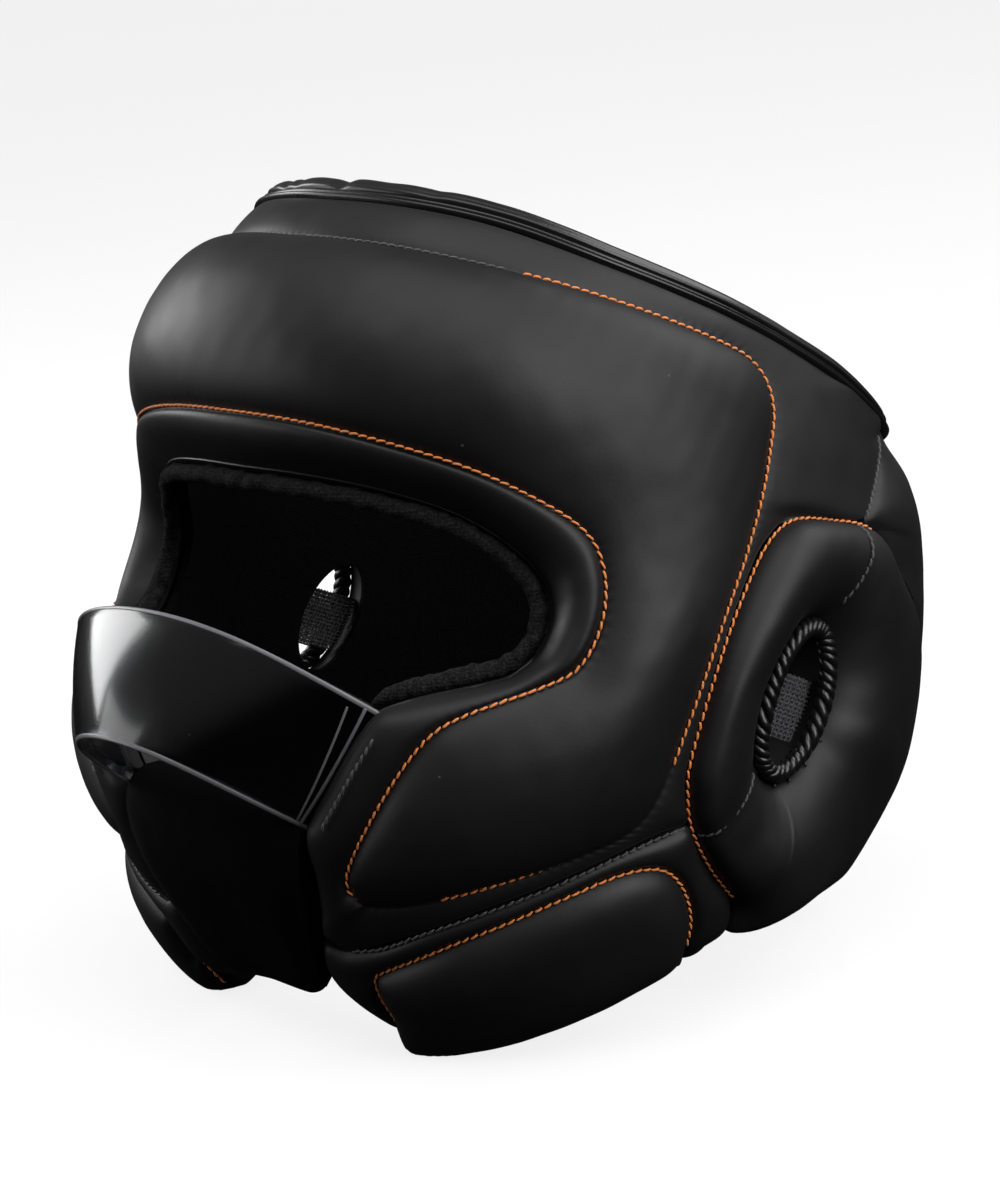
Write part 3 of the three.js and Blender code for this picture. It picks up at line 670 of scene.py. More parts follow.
def grain_group() -> NodeTree:
    """Leather grain: pores between small pebbles, with slow changes of shine and specks of dust.

    Returns:
        Group with a height, a shine and a dust mask.
    """

    def fill(n: Nodes, source: Node, sink: Node) -> None:
        """Makes the group's nodes between its input and its output."""
        vector = source.outputs["Vector"]
        pebble = n.add("ShaderNodeTexVoronoi", feature="SMOOTH_F1", in_Smoothness=0.6)
        n.join(vector, pebble.inputs["Vector"])
        n.join(source.outputs["Grain"], pebble.inputs["Scale"])
        fine = n.add("ShaderNodeTexNoise", in_Detail=3.0, in_Roughness=0.6)
        n.join(vector, fine.inputs["Vector"])
        n.join(n.math("MULTIPLY", source.outputs["Grain"], 0.55), fine.inputs["Scale"])
        height = n.math("ADD", n.math("MULTIPLY", pebble.outputs["Distance"], 0.7),
                        n.math("MULTIPLY", fine.outputs["Fac"], 0.6))
        n.join(height, sink.inputs["Height"])
        slow = n.add("ShaderNodeTexNoise", in_Scale=22.0, in_Detail=4.0, in_Roughness=0.55)
        n.join(vector, slow.inputs["Vector"])
        n.join(slow.outputs["Fac"], sink.inputs["Shine"])
        speck = n.add("ShaderNodeTexVoronoi", feature="F1")
        n.join(vector, speck.inputs["Vector"])
        n.join(source.outputs["Dust"], speck.inputs["Scale"])
        spread = n.add("ShaderNodeSeparateColor")
        n.join(speck.outputs["Color"], spread.inputs["Color"])
        few = n.ramp(spread.outputs["Red"], 0.80, 0.82)
        near = n.ramp(speck.outputs["Distance"], 0.035, 0.06, 1.0, 0.0)
        n.join(n.math("MULTIPLY", few, near), sink.inputs["Dust"])

    return node_group("leather grain", (("Grain", 900.0), ("Dust", 130.0)), ("Height", "Shine", "Dust"), fill)


def weave_group() -> NodeTree:
    """Knit cloth: crossing ribs with a brushed nap.

    Returns:
        Group with a height and a nap value.
    """

    def fill(n: Nodes, source: Node, sink: Node) -> None:
        """Makes the group's nodes between its input and its output."""
        vector = source.outputs["Vector"]
        ribs = []
        for way in ("X", "Z"):
            rib = n.add("ShaderNodeTexWave", wave_type="BANDS", bands_direction=way, in_Distortion=1.5)
            n.join(vector, rib.inputs["Vector"])
            n.join(source.outputs["Threads"], rib.inputs["Scale"])
            ribs.append(rib.outputs["Fac"])
        nap = n.add("ShaderNodeTexNoise", in_Detail=5.0, in_Roughness=0.7)
        n.join(vector, nap.inputs["Vector"])
        n.join(source.outputs["Nap"], nap.inputs["Scale"])
        knit, brushed = n.math("MULTIPLY", *ribs), n.math("MULTIPLY", nap.outputs["Fac"], 1.2)
        n.join(n.math("ADD", knit, brushed), sink.inputs["Height"])
        n.join(nap.outputs["Fac"], sink.inputs["Nap"])

    return node_group("knit cloth", (("Threads", 330.0), ("Nap", 1500.0)), ("Height", "Nap"), fill)


@dataclass(frozen=True)
class Finish:
    """A surface finish, made as one material.

    Attributes:
        name: the material's name.
        slot: name of a material slot; not used.
    """

    name: str
    slot: str

    def material(self) -> bpy.types.Material:
        """The finish's material, made at first use.

        Returns:
            The material.
        """
        made = bpy.data.materials.get(self.name)
        if made is None:
            made = bpy.data.materials.new(self.name)
            made.use_nodes = True
            made.node_tree.nodes.clear()
            nodes = Nodes(made.node_tree)
            shader = nodes.add("ShaderNodeBsdfPrincipled")
            nodes.join(shader.outputs["BSDF"], nodes.add("ShaderNodeOutputMaterial").inputs["Surface"])
            self.dress(nodes, shader)
        return made

    def dress(self, nodes: Nodes, shader: Node) -> None:
        """Sets the shader up, each finish in its own way.

        Args:
            nodes: the material's nodes.
            shader: its shader.
        """
        raise NotImplementedError

    @staticmethod
    def group(nodes: Nodes, tree: NodeTree, **values: float) -> Node:
        """Places a node group on the piece's own coordinates.

        Args:
            nodes: the material's nodes.
            tree: the group.
            values: values for its inputs.

        Returns:
            The group's node.
        """
        node = nodes.add("ShaderNodeGroup", node_tree=tree)
        nodes.join(nodes.add("ShaderNodeTexCoord").outputs["Object"], node.inputs["Vector"])
        for key, value in values.items():
            node.inputs[key].default_value = value
        return node

    @staticmethod
    def bump(nodes: Nodes, shader: Node, height: Socket, depth: float,
             strength: float = 1.0) -> None:
        """Bumps a shader.

        Args:
            nodes: the material's nodes.
            shader: the shader to bump.
            height: socket from 0 to 1.
            depth: height of the bump in millimetres.
            strength: how much of it shows.
        """
        node = nodes.add("ShaderNodeBump", in_Strength=strength, in_Distance=depth * MM)
        nodes.join(height, node.inputs["Height"])
        nodes.join(node.outputs["Normal"], shader.inputs["Normal"])


@dataclass(frozen=True)
class Leather(Finish):
    """Black synthetic leather.

    Attributes:
        dark: the darker colour of its slow changes of tone.
        light: the lighter colour of these changes.
        shine: roughness where it is shiny, then where it is dull.
        grain: height of the grain in millimetres.
        specular: how strongly it mirrors, 0.5 for bare plastic.
        dust: colour of the dust.
    """

    dark: Colour = (0.0055, 0.0053, 0.0058)
    light: Colour = (0.0085, 0.0082, 0.0088)
    shine: Pair = (0.44, 0.54)
    grain: float = 0.04
    specular: float = 0.32
    dust: Colour = (0.12, 0.12, 0.125)

    def dress(self, nodes: Nodes, shader: Node) -> None:
        """Grain, slow changes of shine and a few specks of dust."""
        grain = self.group(nodes, grain_group())
        colour = nodes.blend(grain.outputs["Shine"], self.dark, self.light)
        specks = nodes.math("MULTIPLY", grain.outputs["Dust"], 0.5)
        nodes.join(nodes.blend(specks, colour, self.dust), shader.inputs["Base Color"])
        nodes.join(nodes.ramp(grain.outputs["Shine"], 0.35, 0.65, *self.shine), shader.inputs["Roughness"])
        shader.inputs["Specular IOR Level"].default_value = self.specular
        self.bump(nodes, shader, grain.outputs["Height"], self.grain, 0.5)


@dataclass(frozen=True)
class Cloth(Finish):
    """Brushed black lining cloth.

    Attributes:
        colour: colour of the cloth.
        nap: lighter colour of its fibres.
        depth: height of the knit in millimetres.
    """

    colour: Colour = (0.0016, 0.0016, 0.0018)
    nap: Colour = (0.005, 0.005, 0.0053)
    depth: float = 0.12

    def dress(self, nodes: Nodes, shader: Node) -> None:
        """Knit ribs with a brushed nap."""
        weave = self.group(nodes, weave_group())
        mask = nodes.ramp(weave.outputs["Nap"], 0.4, 0.7)
        nodes.join(nodes.blend(mask, self.colour, self.nap), shader.inputs["Base Color"])
        shader.inputs["Roughness"].default_value = 0.95
        shader.inputs["Specular IOR Level"].default_value = 0.05
        self.bump(nodes, shader, weave.outputs["Height"], self.depth, 0.8)


@dataclass(frozen=True)
class Thread(Finish):
    """Twisted sewing thread.

    Attributes:
        shade: painted shade, a darker colour in the grooves between the plies.
        colour: colour of the plies.
        roughness: roughness of the thread.
    """

    shade: Colour = (0.75, 0.07, 0.006)
    colour: Colour = (1.0, 0.36, 0.06)
    roughness: float = 0.45

    def dress(self, nodes: Nodes, shader: Node) -> None:
        """Plies that run round the thread, on its own UV map, with painted shade between them."""
        place = nodes.add("ShaderNodeUVMap", uv_map=THREAD_MAP)
        ply = nodes.add("ShaderNodeTexWave", wave_type="BANDS", bands_direction="DIAGONAL", in_Scale=1.2)
        nodes.join(place.outputs["UV"], ply.inputs["Vector"])
        # painted shade: the darker colour fills the grooves between the plies
        nodes.join(nodes.blend(nodes.ramp(ply.outputs["Fac"], 0.0, 0.5), self.shade, self.colour),
                   shader.inputs["Base Color"])
        shader.inputs["Roughness"].default_value = self.roughness
        shader.inputs["Sheen Weight"].default_value = 0.3
        self.bump(nodes, shader, ply.outputs["Fac"], 0.12, 0.6)


@dataclass(frozen=True)
class ClearPlastic(Finish):
    """Clear thick plastic, a little scuffed, darkened by a smoky colour that is painted shade.

    Attributes:
        tint: colour of the light that goes through, dark and smoky as painted shade.
        index: its index of refraction.
        polish: roughness where it is polished, then where it is scuffed.
    """

    tint: Colour = (0.13, 0.135, 0.145)
    index: float = 1.5
    polish: Pair = (0.14, 0.19)

    def dress(self, nodes: Nodes, shader: Node) -> None:
        """Clear body whose polish has fine scuffs."""
        grain = self.group(nodes, grain_group(), Grain=180.0, Dust=160.0)
        # painted shade: the dark smoky colour darkens the clear bar and what is seen through it
        shader.inputs["Base Color"].default_value = (*self.tint, 1.0)
        shader.inputs["Transmission Weight"].default_value = 1.0
        shader.inputs["IOR"].default_value = self.index
        scuffs = nodes.math("MULTIPLY", grain.outputs["Dust"], 0.6)
        polish = nodes.ramp(grain.outputs["Shine"], 0.4, 0.7, *self.polish)
        nodes.join(nodes.math("ADD", polish, scuffs), shader.inputs["Roughness"])


@dataclass(frozen=True)
class GroundPlastic(Finish):
    """Ground edge of the clear plastic, in a light grey that is painted highlight for its bright edge lines.

    Attributes:
        clear: colour where it is clearest.
        milky: colour where it is milkiest, a light grey that is painted highlight.
        transmission: share of the light that goes through.
        roughness: roughness of the ground edge.
    """

    clear: Colour = (0.1, 0.1, 0.105)
    milky: Colour = (0.34, 0.34, 0.36)
    transmission: float = 0.3
    roughness: float = 0.32

    def dress(self, nodes: Nodes, shader: Node) -> None:
        """Light grey body, uneven along the edge, as painted highlight."""
        grain = self.group(nodes, grain_group(), Grain=240.0, Dust=120.0)
        # painted highlight: the light grey stands in for the bright lines of light along the bar's edges
        nodes.join(nodes.blend(grain.outputs["Shine"], self.clear, self.milky), shader.inputs["Base Color"])
        shader.inputs["Transmission Weight"].default_value = self.transmission
        shader.inputs["Roughness"].default_value = self.roughness


@dataclass(frozen=True)
class Paper(Finish):
    """Plain pale floor.

    Attributes:
        dark: the darker tone of its tooth.
        light: the lighter tone.
        glow: light that it gives off itself.
    """

    dark: Colour = (0.15, 0.15, 0.15)
    light: Colour = (0.17, 0.17, 0.17)
    glow: float = 0.83

    def dress(self, nodes: Nodes, shader: Node) -> None:
        """One pale matte tone with a faint tooth."""
        tooth = nodes.add("ShaderNodeTexNoise", in_Scale=40.0)
        nodes.join(nodes.add("ShaderNodeTexCoord").outputs["Object"], tooth.inputs["Vector"])
        nodes.join(nodes.blend(tooth.outputs["Fac"], self.dark, self.light), shader.inputs["Base Color"])
        shader.inputs["Roughness"].default_value = 0.9
        shader.inputs["Emission Color"].default_value = WHITE
        shader.inputs["Emission Strength"].default_value = self.glow


MATTE = Leather("matte black leather", "leather")
GLOSSY = Leather("glossy black leather", "rim_leather", (0.004, 0.004, 0.0043), (0.007, 0.007, 0.0074),
                 (0.2, 0.34), 0.05, 0.5)
CLOTH = Cloth("brushed lining", "lining_cloth")
CHIN_CLOTH = Cloth("chin padding cloth", "lining_cloth", (0.0018, 0.0018, 0.002), (0.003, 0.003, 0.0033),
                   0.05)
FUZZ = Cloth("fuzzy lining edge", "lining_cloth", (0.009, 0.009, 0.0095), (0.03, 0.03, 0.031), 0.2)
MESH = Cloth("ear mesh thread", "ear_mesh", (0.045, 0.045, 0.048), (0.12, 0.12, 0.125), 0.05)
ORANGE = Thread("orange thread", "accent_thread")
BLACK = Thread("black thread", "seam_thread", (0.01, 0.01, 0.011), (0.05, 0.05, 0.053), 0.3)
CLEAR = ClearPlastic("clear plastic", "clear_bar")
GROUND_HIGHLIGHT = GroundPlastic("ground plastic", "clear_bar")


def hand_over(piece: Piece, finish: Finish, nodes: Sequence[str] = ()) -> None:
    """Dresses a finished piece and says what it is.

    Args:
        piece: the piece, in place.
        finish: what it is made of.
        nodes: CAD nodes that it stands for.
    """
    piece.data.materials.clear()
    piece.data.materials.append(finish.material())
    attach(piece, BODY)
    if nodes:
        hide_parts(*nodes)
    LOG.info("%s: %d faces, %s", piece.name, len(piece.data.polygons), finish.name)


# Padded panels and stitches

class Side(Enum):
    """Side of the wearer's head."""

    LEFT = 1
    RIGHT = -1

    @property
    def label(self) -> str:
        """The side's name in node names."""
        return self.name.lower()

    def seams(self, seams: Array) -> Array:
        """Seam points of the left, on this side."""
        return seams if self is Side.LEFT else mirrored(seams)


@dataclass
class Ribs:
    """Two seams that a padded panel is sewn between, row by row.

    Attributes:
        near: seam points of one side.
        far: seam points of the other side.
        step: how far along the rows each row lies, 0 to 1.
        closed: whether the rows run round.
    """

    near: Array
    far: Array
    step: Array
    closed: bool = False

    @classmethod
    def through(cls, form: HeadForm, near: Array, far: Array, closed: bool = False) -> Ribs:
        """Evenly spaced rows through the rows of two tables.

        Args:
            form: the head form.
            near: table rows of one seam.
            far: table rows of the other.
            closed: whether the last table row joins the first.

        Returns:
            The ribs.
        """
        if closed:
            near, far = (np.concatenate([side[-2:], side, side[:3]]) for side in (near, far))
        last = len(near) - 1
        ends = (2 / last, 1 - 2 / last) if closed else (0, 1)
        fine = np.linspace(*ends, FINE_STEPS)
        run = sum(arc(form.surface(spline(side, fine))) for side in (near, far)) / 2
        count = max(int(run[-1] / ROW_STEP), LEAST_ROWS)
        at = np.interp(np.linspace(0, run[-1], count, endpoint=not closed), run, fine)
        return cls(spline(near, at), spline(far, at), (at - fine[0]) / (fine[-1] - fine[0]), closed)

    def on(self, side: Side) -> Ribs:
        """The same ribs on one side of the head."""
        return Ribs(side.seams(self.near), side.seams(self.far), self.step, self.closed)


@dataclass
class Pucker:
    """Small gathers where thread pulls leather in.

    Attributes:
        pitch: distance between needle holes.
        depth: depth of the gather at a hole.
        reach: how far from the seam it shows.
    """

    pitch: float = 3.0
    depth: float = 0.17
    reach: float = 1.9

    def at(self, run: Array, distance: Array) -> Array:
        """Change of height at a length along the seam and a distance from it."""
        pull = 0.5 + 0.5 * np.cos(FULL_TURN * run / self.pitch)
        return -self.depth * pull[:, None] * np.exp(-(distance / self.reach) ** 2)


PUCKER = Pucker()
SOFTNESS = WaveField(7, 34.0)
CREASES = WaveField(11, 9.0)


@dataclass
class PaddedPanel:
    """Stuffed leather panel sewn between two seams.

    Attributes:
        form: the head form.
        ribs: the seams.
        height: outer offset from the distances to both seams and the seam points.
        across: mesh columns over the outer face.
        wall: depth of the panel's back under the shell line.
        gap: space left at each seam.
        gathers: whether thread gathers the near and the far seam.
        unevenness: size of the slow bumps of the stuffing.
        smooth_side: width of the strip beside a seam that has no such bumps.
    """

    form: HeadForm
    ribs: Ribs
    height: Callable[[Array, Array, Array], Array]
    across: int = 40
    wall: float = WALL
    gap: float = SEAM_GAP
    gathers: tuple[bool, bool] = (True, True)
    unevenness: float = 0.14
    smooth_side: float = 12.0

    def eased(self, offset: Array, clear: Array) -> Array:
        """Eases creases out of a height field, away from its seams.

        Args:
            offset: the height field, rows by columns.
            clear: distance to the nearest seam.

        Returns:
            The eased field.
        """
        hold = 0.5 * smoothstep(clear, 1.5, 8.0)
        ends = "wrap" if self.ribs.closed else "edge"
        for _ in range(EASING_ROUNDS):
            wide = np.pad(np.pad(offset, ((1, 1), (0, 0)), ends), ((0, 0), (1, 1)), "edge")
            around = (wide[:-2, 1:-1] + wide[2:, 1:-1] + wide[1:-1, :-2] + wide[1:-1, 2:]) / 4
            offset = offset + hold * (around - offset)
        return offset

    def away(self, ground: Array, seam: Array) -> Array:
        """Distance of every mesh point from a seam, true beside it and softened further out.

        Args:
            ground: mesh points on the shell line.
            seam: the seam's points in order.

        Returns:
            One distance for each mesh point.
        """
        line = self.form.surface(np.concatenate([seam, seam[:1]]) if self.ribs.closed else seam)
        at = np.arange(len(line))
        fine = read_along(line, at, np.linspace(0, at[-1], 4 * at[-1] + 1))
        tree = KDTree(len(fine))
        for number, point in enumerate(fine.tolist()):
            tree.insert(point, number)
        tree.balance()
        flat = ground.reshape(-1, 3)
        exact = np.array([tree.find(point)[2] for point in flat.tolist()])
        blend = smoothstep(exact, 2.5, 7.0)
        return (exact * (1 - blend) + self.softened(flat, line) * blend).reshape(ground.shape[:-1])

    @staticmethod
    def softened(points: Array, line: Array) -> Array:
        """Distance from a line as a power mean over it, which has no crease between two parts of the line.

        Args:
            points: where to measure.
            line: the line's points in order.

        Returns:
            One distance for each point, true for a long straight line.
        """
        knots = (line[::3][1:] + line[::3][:-1]) / 2
        share = np.linalg.norm(np.diff(line[::3], axis=0), axis=1)
        straight = 1.178    # the same sum over a straight line at a distance of 1
        found = []
        for some in np.array_split(points, max(len(points) // 4000, 1)):
            square = (some ** 2).sum(1)[:, None] + (knots ** 2).sum(1)[None] - 2 * some @ knots.T
            found.append(((np.maximum(square, 1.0) ** -3) @ share / straight) ** -0.2)
        return np.concatenate(found)

    def sections(self) -> Array:
        """Closed sections of the panel, with columns that crowd towards its seams.

        Returns:
            Sections by points by coordinates, outer face first, in the rim's frame.
        """
        near, far = self.ribs.near, self.ribs.far
        width = np.linalg.norm(self.form.surface(near) - self.form.surface(far), axis=1)[:, None]
        even = np.linspace(0, 1, self.across)
        crowded = 0.35 * even + 0.65 * (0.5 - 0.5 * np.cos(math.pi * even))
        trim = np.minimum(self.gap / width, 0.2)
        place = trim + (1 - 2 * trim) * crowded
        seams = near[:, None] * (1 - place[..., None]) + far[:, None] * place[..., None]
        ground = self.form.surface(seams)
        to_near, to_far = (self.away(ground, side) for side in (near, far))
        offset = self.eased(self.height(to_near, to_far, seams), np.minimum(to_near, to_far))
        inside = np.minimum(flank(to_near, self.smooth_side), flank(to_far, self.smooth_side))
        offset = offset + inside * self.unevenness * (SOFTNESS(ground) + 0.25 * CREASES(ground))
        for gathered, seam, distance in zip(self.gathers, (near, far), (to_near, to_far)):
            if gathered:
                run = arc(self.form.surface(seam))
                offset = offset + PUCKER.at(run - run[len(run) // 2], distance)
        outer = self.form.surface(seams, offset)
        behind = (trim + (1 - 2 * trim) * np.linspace(1, 0, BACK_COLUMNS))[..., None]
        inner = self.form.surface(near[:, None] * (1 - behind) + far[:, None] * behind, -self.wall)
        return np.concatenate([outer, inner], 1)

    def build(self, name: str) -> Piece:
        """Makes the panel's mesh."""
        piece = loft(name, self.form.place(self.sections()), self.ribs.closed)
        crisp_edges(piece)
        return piece


def threads(name: str, stitches: Array, along: Array, angle: Array) -> Piece:
    """Joins short threads into one mesh with a thread UV map.

    Args:
        name: the piece's name.
        stitches: thread by ring by side by coordinates.
        along: place of each ring along a thread.
        angle: place of each side round it.

    Returns:
        The mesh object.
    """
    count, rows, sides, _ = stitches.shape
    size = rows * sides
    one = np.arange(size).reshape(rows, sides)
    quads = np.stack([one[:-1], np.roll(one[:-1], -1, 1), np.roll(one[1:], -1, 1), one[1:]], -1)
    faces = (quads.reshape(1, -1, 4) + (np.arange(count) * size)[:, None, None]).reshape(-1, 4).tolist()
    for start in range(0, count * size, size):
        faces += [(one[0][::-1] + start).tolist(), (one[-1] + start).tolist()]
    piece = new_object(name, stitches, faces)
    layer = piece.data.uv_layers.new(name=THREAD_MAP)
    vertex = np.zeros(len(piece.data.loops), int)
    piece.data.loops.foreach_get("vertex_index", vertex)
    local = vertex % size
    uv = np.stack([along[local // sides] * 2.0, angle[local % sides] / math.pi], -1)
    layer.data.foreach_set("uv", uv.ravel())
    return piece


@dataclass(frozen=True)
class StitchRun:
    """Row of stitches along a seam.

    Attributes:
        pitch: distance from stitch to stitch.
        length: visible length of a stitch.
        radius: half the thread's thickness.
        lift: height of the thread's middle over the shell line.
        slant: how far each stitch turns from the seam.
        uneven_slant: spread of that turn.
        uneven_length: spread of the length, as a share of it.
        probe: how far ahead and back the seam's direction is read.
        rows: rings along a stitch.
        sides: points round it.
    """

    pitch: float = 2.6
    length: float = 2.4
    radius: float = 0.36
    lift: float = VALLEY + 0.4
    slant: float = 12.0
    uneven_slant: float = 3.0
    uneven_length: float = 0.04
    probe: float = 0.4
    rows: int = 7
    sides: int = 6

    def build(self, name: str, form: HeadForm, runs: Sequence[Run]) -> Piece:
        """Makes all the stitches of one colour as one piece.

        Args:
            name: the piece's name.
            form: the head form.
            runs: rows of seam points, each sewn from its middle outwards, with their extra heights.

        Returns:
            One joined mesh.
        """
        rng = np.random.default_rng(len(name))
        w, angle = np.linspace(-1, 1, self.rows), round_angles(self.sides)
        sink = -0.85 * self.radius * np.abs(w) ** 3
        size = self.radius * np.sqrt(1 - 0.75 * w ** 4)
        points: list[Array] = []
        for seams, extra in runs:
            path = form.surface(seams, self.lift + extra)
            run = arc(path)
            middle = run[len(run) // 2]
            first, last = ((end - middle) / self.pitch for end in (run[0], run[-1]))
            at = middle + (np.arange(math.ceil(first), math.floor(last)) + 0.5) * self.pitch
            here = read_along(path, run, at)
            along = unit(read_along(path, run, at + self.probe) - read_along(path, run, at - self.probe))
            out = unit(here)
            out = unit(out - along * (out * along).sum(1)[:, None])
            turn = np.radians(self.slant + rng.normal(0, self.uneven_slant, len(at)))[:, None]
            axis = along * np.cos(turn) + np.cross(out, along) * np.sin(turn)
            half = self.length / 2 * (1 + rng.normal(0, self.uneven_length, len(at)))
            core = (here[:, None] + axis[:, None] * (half[:, None] * w)[..., None]
                    + out[:, None] * sink[None, :, None])
            ring = rings(np.cross(out, axis), out, angle)[:, None] * size[None, :, None, None]
            points.append(core[:, :, None] + ring)
        return threads(name, form.place(np.concatenate(points), rests=False), w, angle)


# Sub-assemblies

@dataclass
class FrontCover:
    """Forehead, temple and cheek pad with the leather panel sewn round it.

    Attributes:
        form: the head form.
        puff: how far the forehead stands out.
        cheek: how far the cheek stands out.
        inner: width of the flank on the eye side.
        outer: width of the flank on the crown and ear side.
        hollow: extra width of the flank beside the eye.
        seam_fill: how far the gentle outer seam is filled up.
        roll: how far the panel stands out round the eyes and at the cheek's edge.
        roll_flank: width of its flank there.
        band: how far the panel stands out under the rim and beside the ear.
        band_flank: width of its flank there.
        rim_fill: how far the panel's edge is filled up at the rim.
        gather: height and spacing of the gathers at the foot of the cheek.
        faint: extra height of the stitches that lie half hidden above the jaw.
        bar_strip: share of the way from the free edge to the stitch where the thread beside the bar runs.
    """

    form: HeadForm
    puff: float = 11.0
    cheek: float = 7.5
    inner: float = 20.0
    outer: float = 28.0
    hollow: float = 30.0
    seam_fill: float = 0.8
    roll: float = 3.4
    roll_flank: float = 8.0
    band: float = 2.2
    band_flank: float = 15.0
    rim_fill: float = 1.7
    gather: Pair = (0.45, 4.3)
    faint: float = -0.34
    bar_strip: float = 0.34

    def pad_ribs(self) -> Ribs:
        """Rows of the pad.

        Returns:
            Ribs from the right cheek over the brow to the left cheek, eye side first.
        """
        last = len(BROW_RIBS) - 1
        rows = np.linspace(0, last, 160)
        eye = spline(BROW_RIBS[:, 2:4], rows / last)
        outer = spline(SIDE_RIBS[:, :2], smooth(FACING_ROWS, rows) / last)
        sides = [np.concatenate([mirrored(table[:0:-1]), table]) for table in (eye, outer)]
        return Ribs.through(self.form, *sides)

    def fill(self, seams: Array) -> Array:
        """How far the gentle outer seam is filled up."""
        return self.seam_fill * smoothstep(seams[..., 1], -34, -24)

    def pad(self) -> None:
        """Makes the stuffed pad, one piece from cheek to cheek."""
        ribs = self.pad_ribs()
        fill = self.fill(ribs.far)[:, None]

        def height(to_brow: Array, to_side: Array, seams: Array) -> Array:
            """Full forehead, flatter cheek and a hollow beside the eye."""
            turn, lat = np.abs(seams[..., 0]), seams[..., 1]
            front = 1 - smoothstep(turn / (1 + 0.018 * np.clip(lat - 20, 0, 30)), 26, 58)
            rise = self.cheek + (self.puff - self.cheek) * front * smoothstep(lat, -4, 10)
            beside = np.exp(-((lat - 1.2 * np.maximum(turn - 58, 0) - 10) / 14) ** 2)
            slope = self.inner + self.hollow * (beside * smoothstep(turn, 32, 58))
            return VALLEY + flank(to_brow, slope) * over(flank(to_side, self.outer), rise, fill)

        panel = PaddedPanel(self.form, ribs, height, across=60)
        hand_over(panel.build("front_pad_cover"), MATTE, ["front_pad"])

    def panel_ribs(self) -> tuple[Ribs, Array]:
        """Rows of the panel all round the pad.

        Returns:
            The ribs, from the pad out, and the drop of the free edge in each row.
        """
        side = np.concatenate([SIDE_RIBS, np.zeros((len(SIDE_RIBS), 1))], 1)[:, [2, 3, 0, 1, 4]]
        side[:, :2] = under_rim(side[:, :2])
        left = np.concatenate([BROW_RIBS, CORNER_RIBS, side[::-1]])
        right = left[-2:0:-1] * np.array([-1, 1, -1, 1, 1])
        loop = np.concatenate([left, right])
        ribs = Ribs.through(self.form, loop[:, 2:4], loop[:, :2], closed=True)
        rows = np.linspace(0, 1, len(loop) + 1)
        return ribs, np.interp(ribs.step, rows, np.append(loop[:, 4], loop[0, 4]))

    def panel(self) -> None:
        """Makes brow roll, cheek edge, jaw strip and crown band, one panel right round the pad."""
        ribs, edge_drop = self.panel_ribs()
        drop = edge_drop[:, None]
        eye = smoothstep(drop, 0.0, 2.0)
        swell = self.band + (self.roll - self.band) * eye
        reach = self.band_flank + (self.roll_flank - self.band_flank) * eye
        fill = self.fill(ribs.near)[:, None] * (1 - eye)
        at_rim = smoothstep(ribs.far[:, 1] - rim_lat(ribs.far[:, 0]), -3.0, -0.5)
        edge_fill = (back_fill(ribs.far) + self.rim_fill * at_rim)[:, None]
        foot = np.exp(-((ribs.far[:, 1] + 43.0) / 6.0) ** 2) * (np.abs(ribs.far[:, 0]) < 30)
        run = arc(self.form.surface(ribs.far))
        deep, spacing = self.gather
        gather = (deep * foot * np.cos(FULL_TURN * run / spacing + 1.4 * np.sin(run / 5.0)))[:, None]

        def height(to_pad: Array, to_edge: Array, _: Array) -> Array:
            """Roll with a dropped edge at the eyes, and a flatter band elsewhere."""
            edge_side = flank(to_edge, reach)
            puffed = (VALLEY + edge_side * over(flank(to_pad, reach), swell, fill)
                      + edge_fill * (1 - edge_side))
            return puffed + gather * np.exp(-((to_edge - 3.5) / 3.5) ** 2) - drop * fall(to_edge)

        panel = PaddedPanel(self.form, ribs, height, across=22, gathers=(True, False))
        piece = panel.build("shell_panel_cover")
        cut(piece, FaceBar(self.form).pocket_tool())
        crisp_edges(piece)
        hand_over(piece, MATTE, ["shell_panel"])

    def thread_runs(self) -> tuple[list[Run], list[Run]]:
        """Stitches round the pad and beside the bar.

        Returns:
            Orange runs, and black runs over the crown and beside the bar.
        """
        ribs = self.pad_ribs()
        foot = spline(np.concatenate([ribs.near[-1:], CORNER_RIBS[:, 2:4]]), np.linspace(0, 1, 12))[1:]
        brow = np.concatenate([mirrored(foot[::-1]), ribs.near, foot])
        turn, lat = np.abs(ribs.far[:, 0]), ribs.far[:, 1]
        crown = ribs.far[turn < 35]
        sides = [ribs.step > 0.5, ribs.step < 0.5]
        bright = [ribs.far[(turn >= 35) & (lat > -11) & side] for side in sides]
        faint = [ribs.far[(turn > 45.6) & (turn < 64.1) & (lat < -25) & side] for side in sides]
        orange = ([level_run(brow)] + [(run, self.fill(run)) for run in bright]
                  + [level_run(run, self.faint) for run in faint])
        at = np.linspace(18.2, 22.6, 60) / (len(BROW_RIBS) - 1)
        edge, stitch = spline(BROW_RIBS[:, :2], at), spline(BROW_RIBS[:, 2:4], at)
        strip = edge * (1 - self.bar_strip) + stitch * self.bar_strip
        beside_bar = [level_run(side.seams(strip), self.roll - 0.45) for side in Side]
        return orange, [(crown, self.fill(crown) - 0.1)] + beside_bar


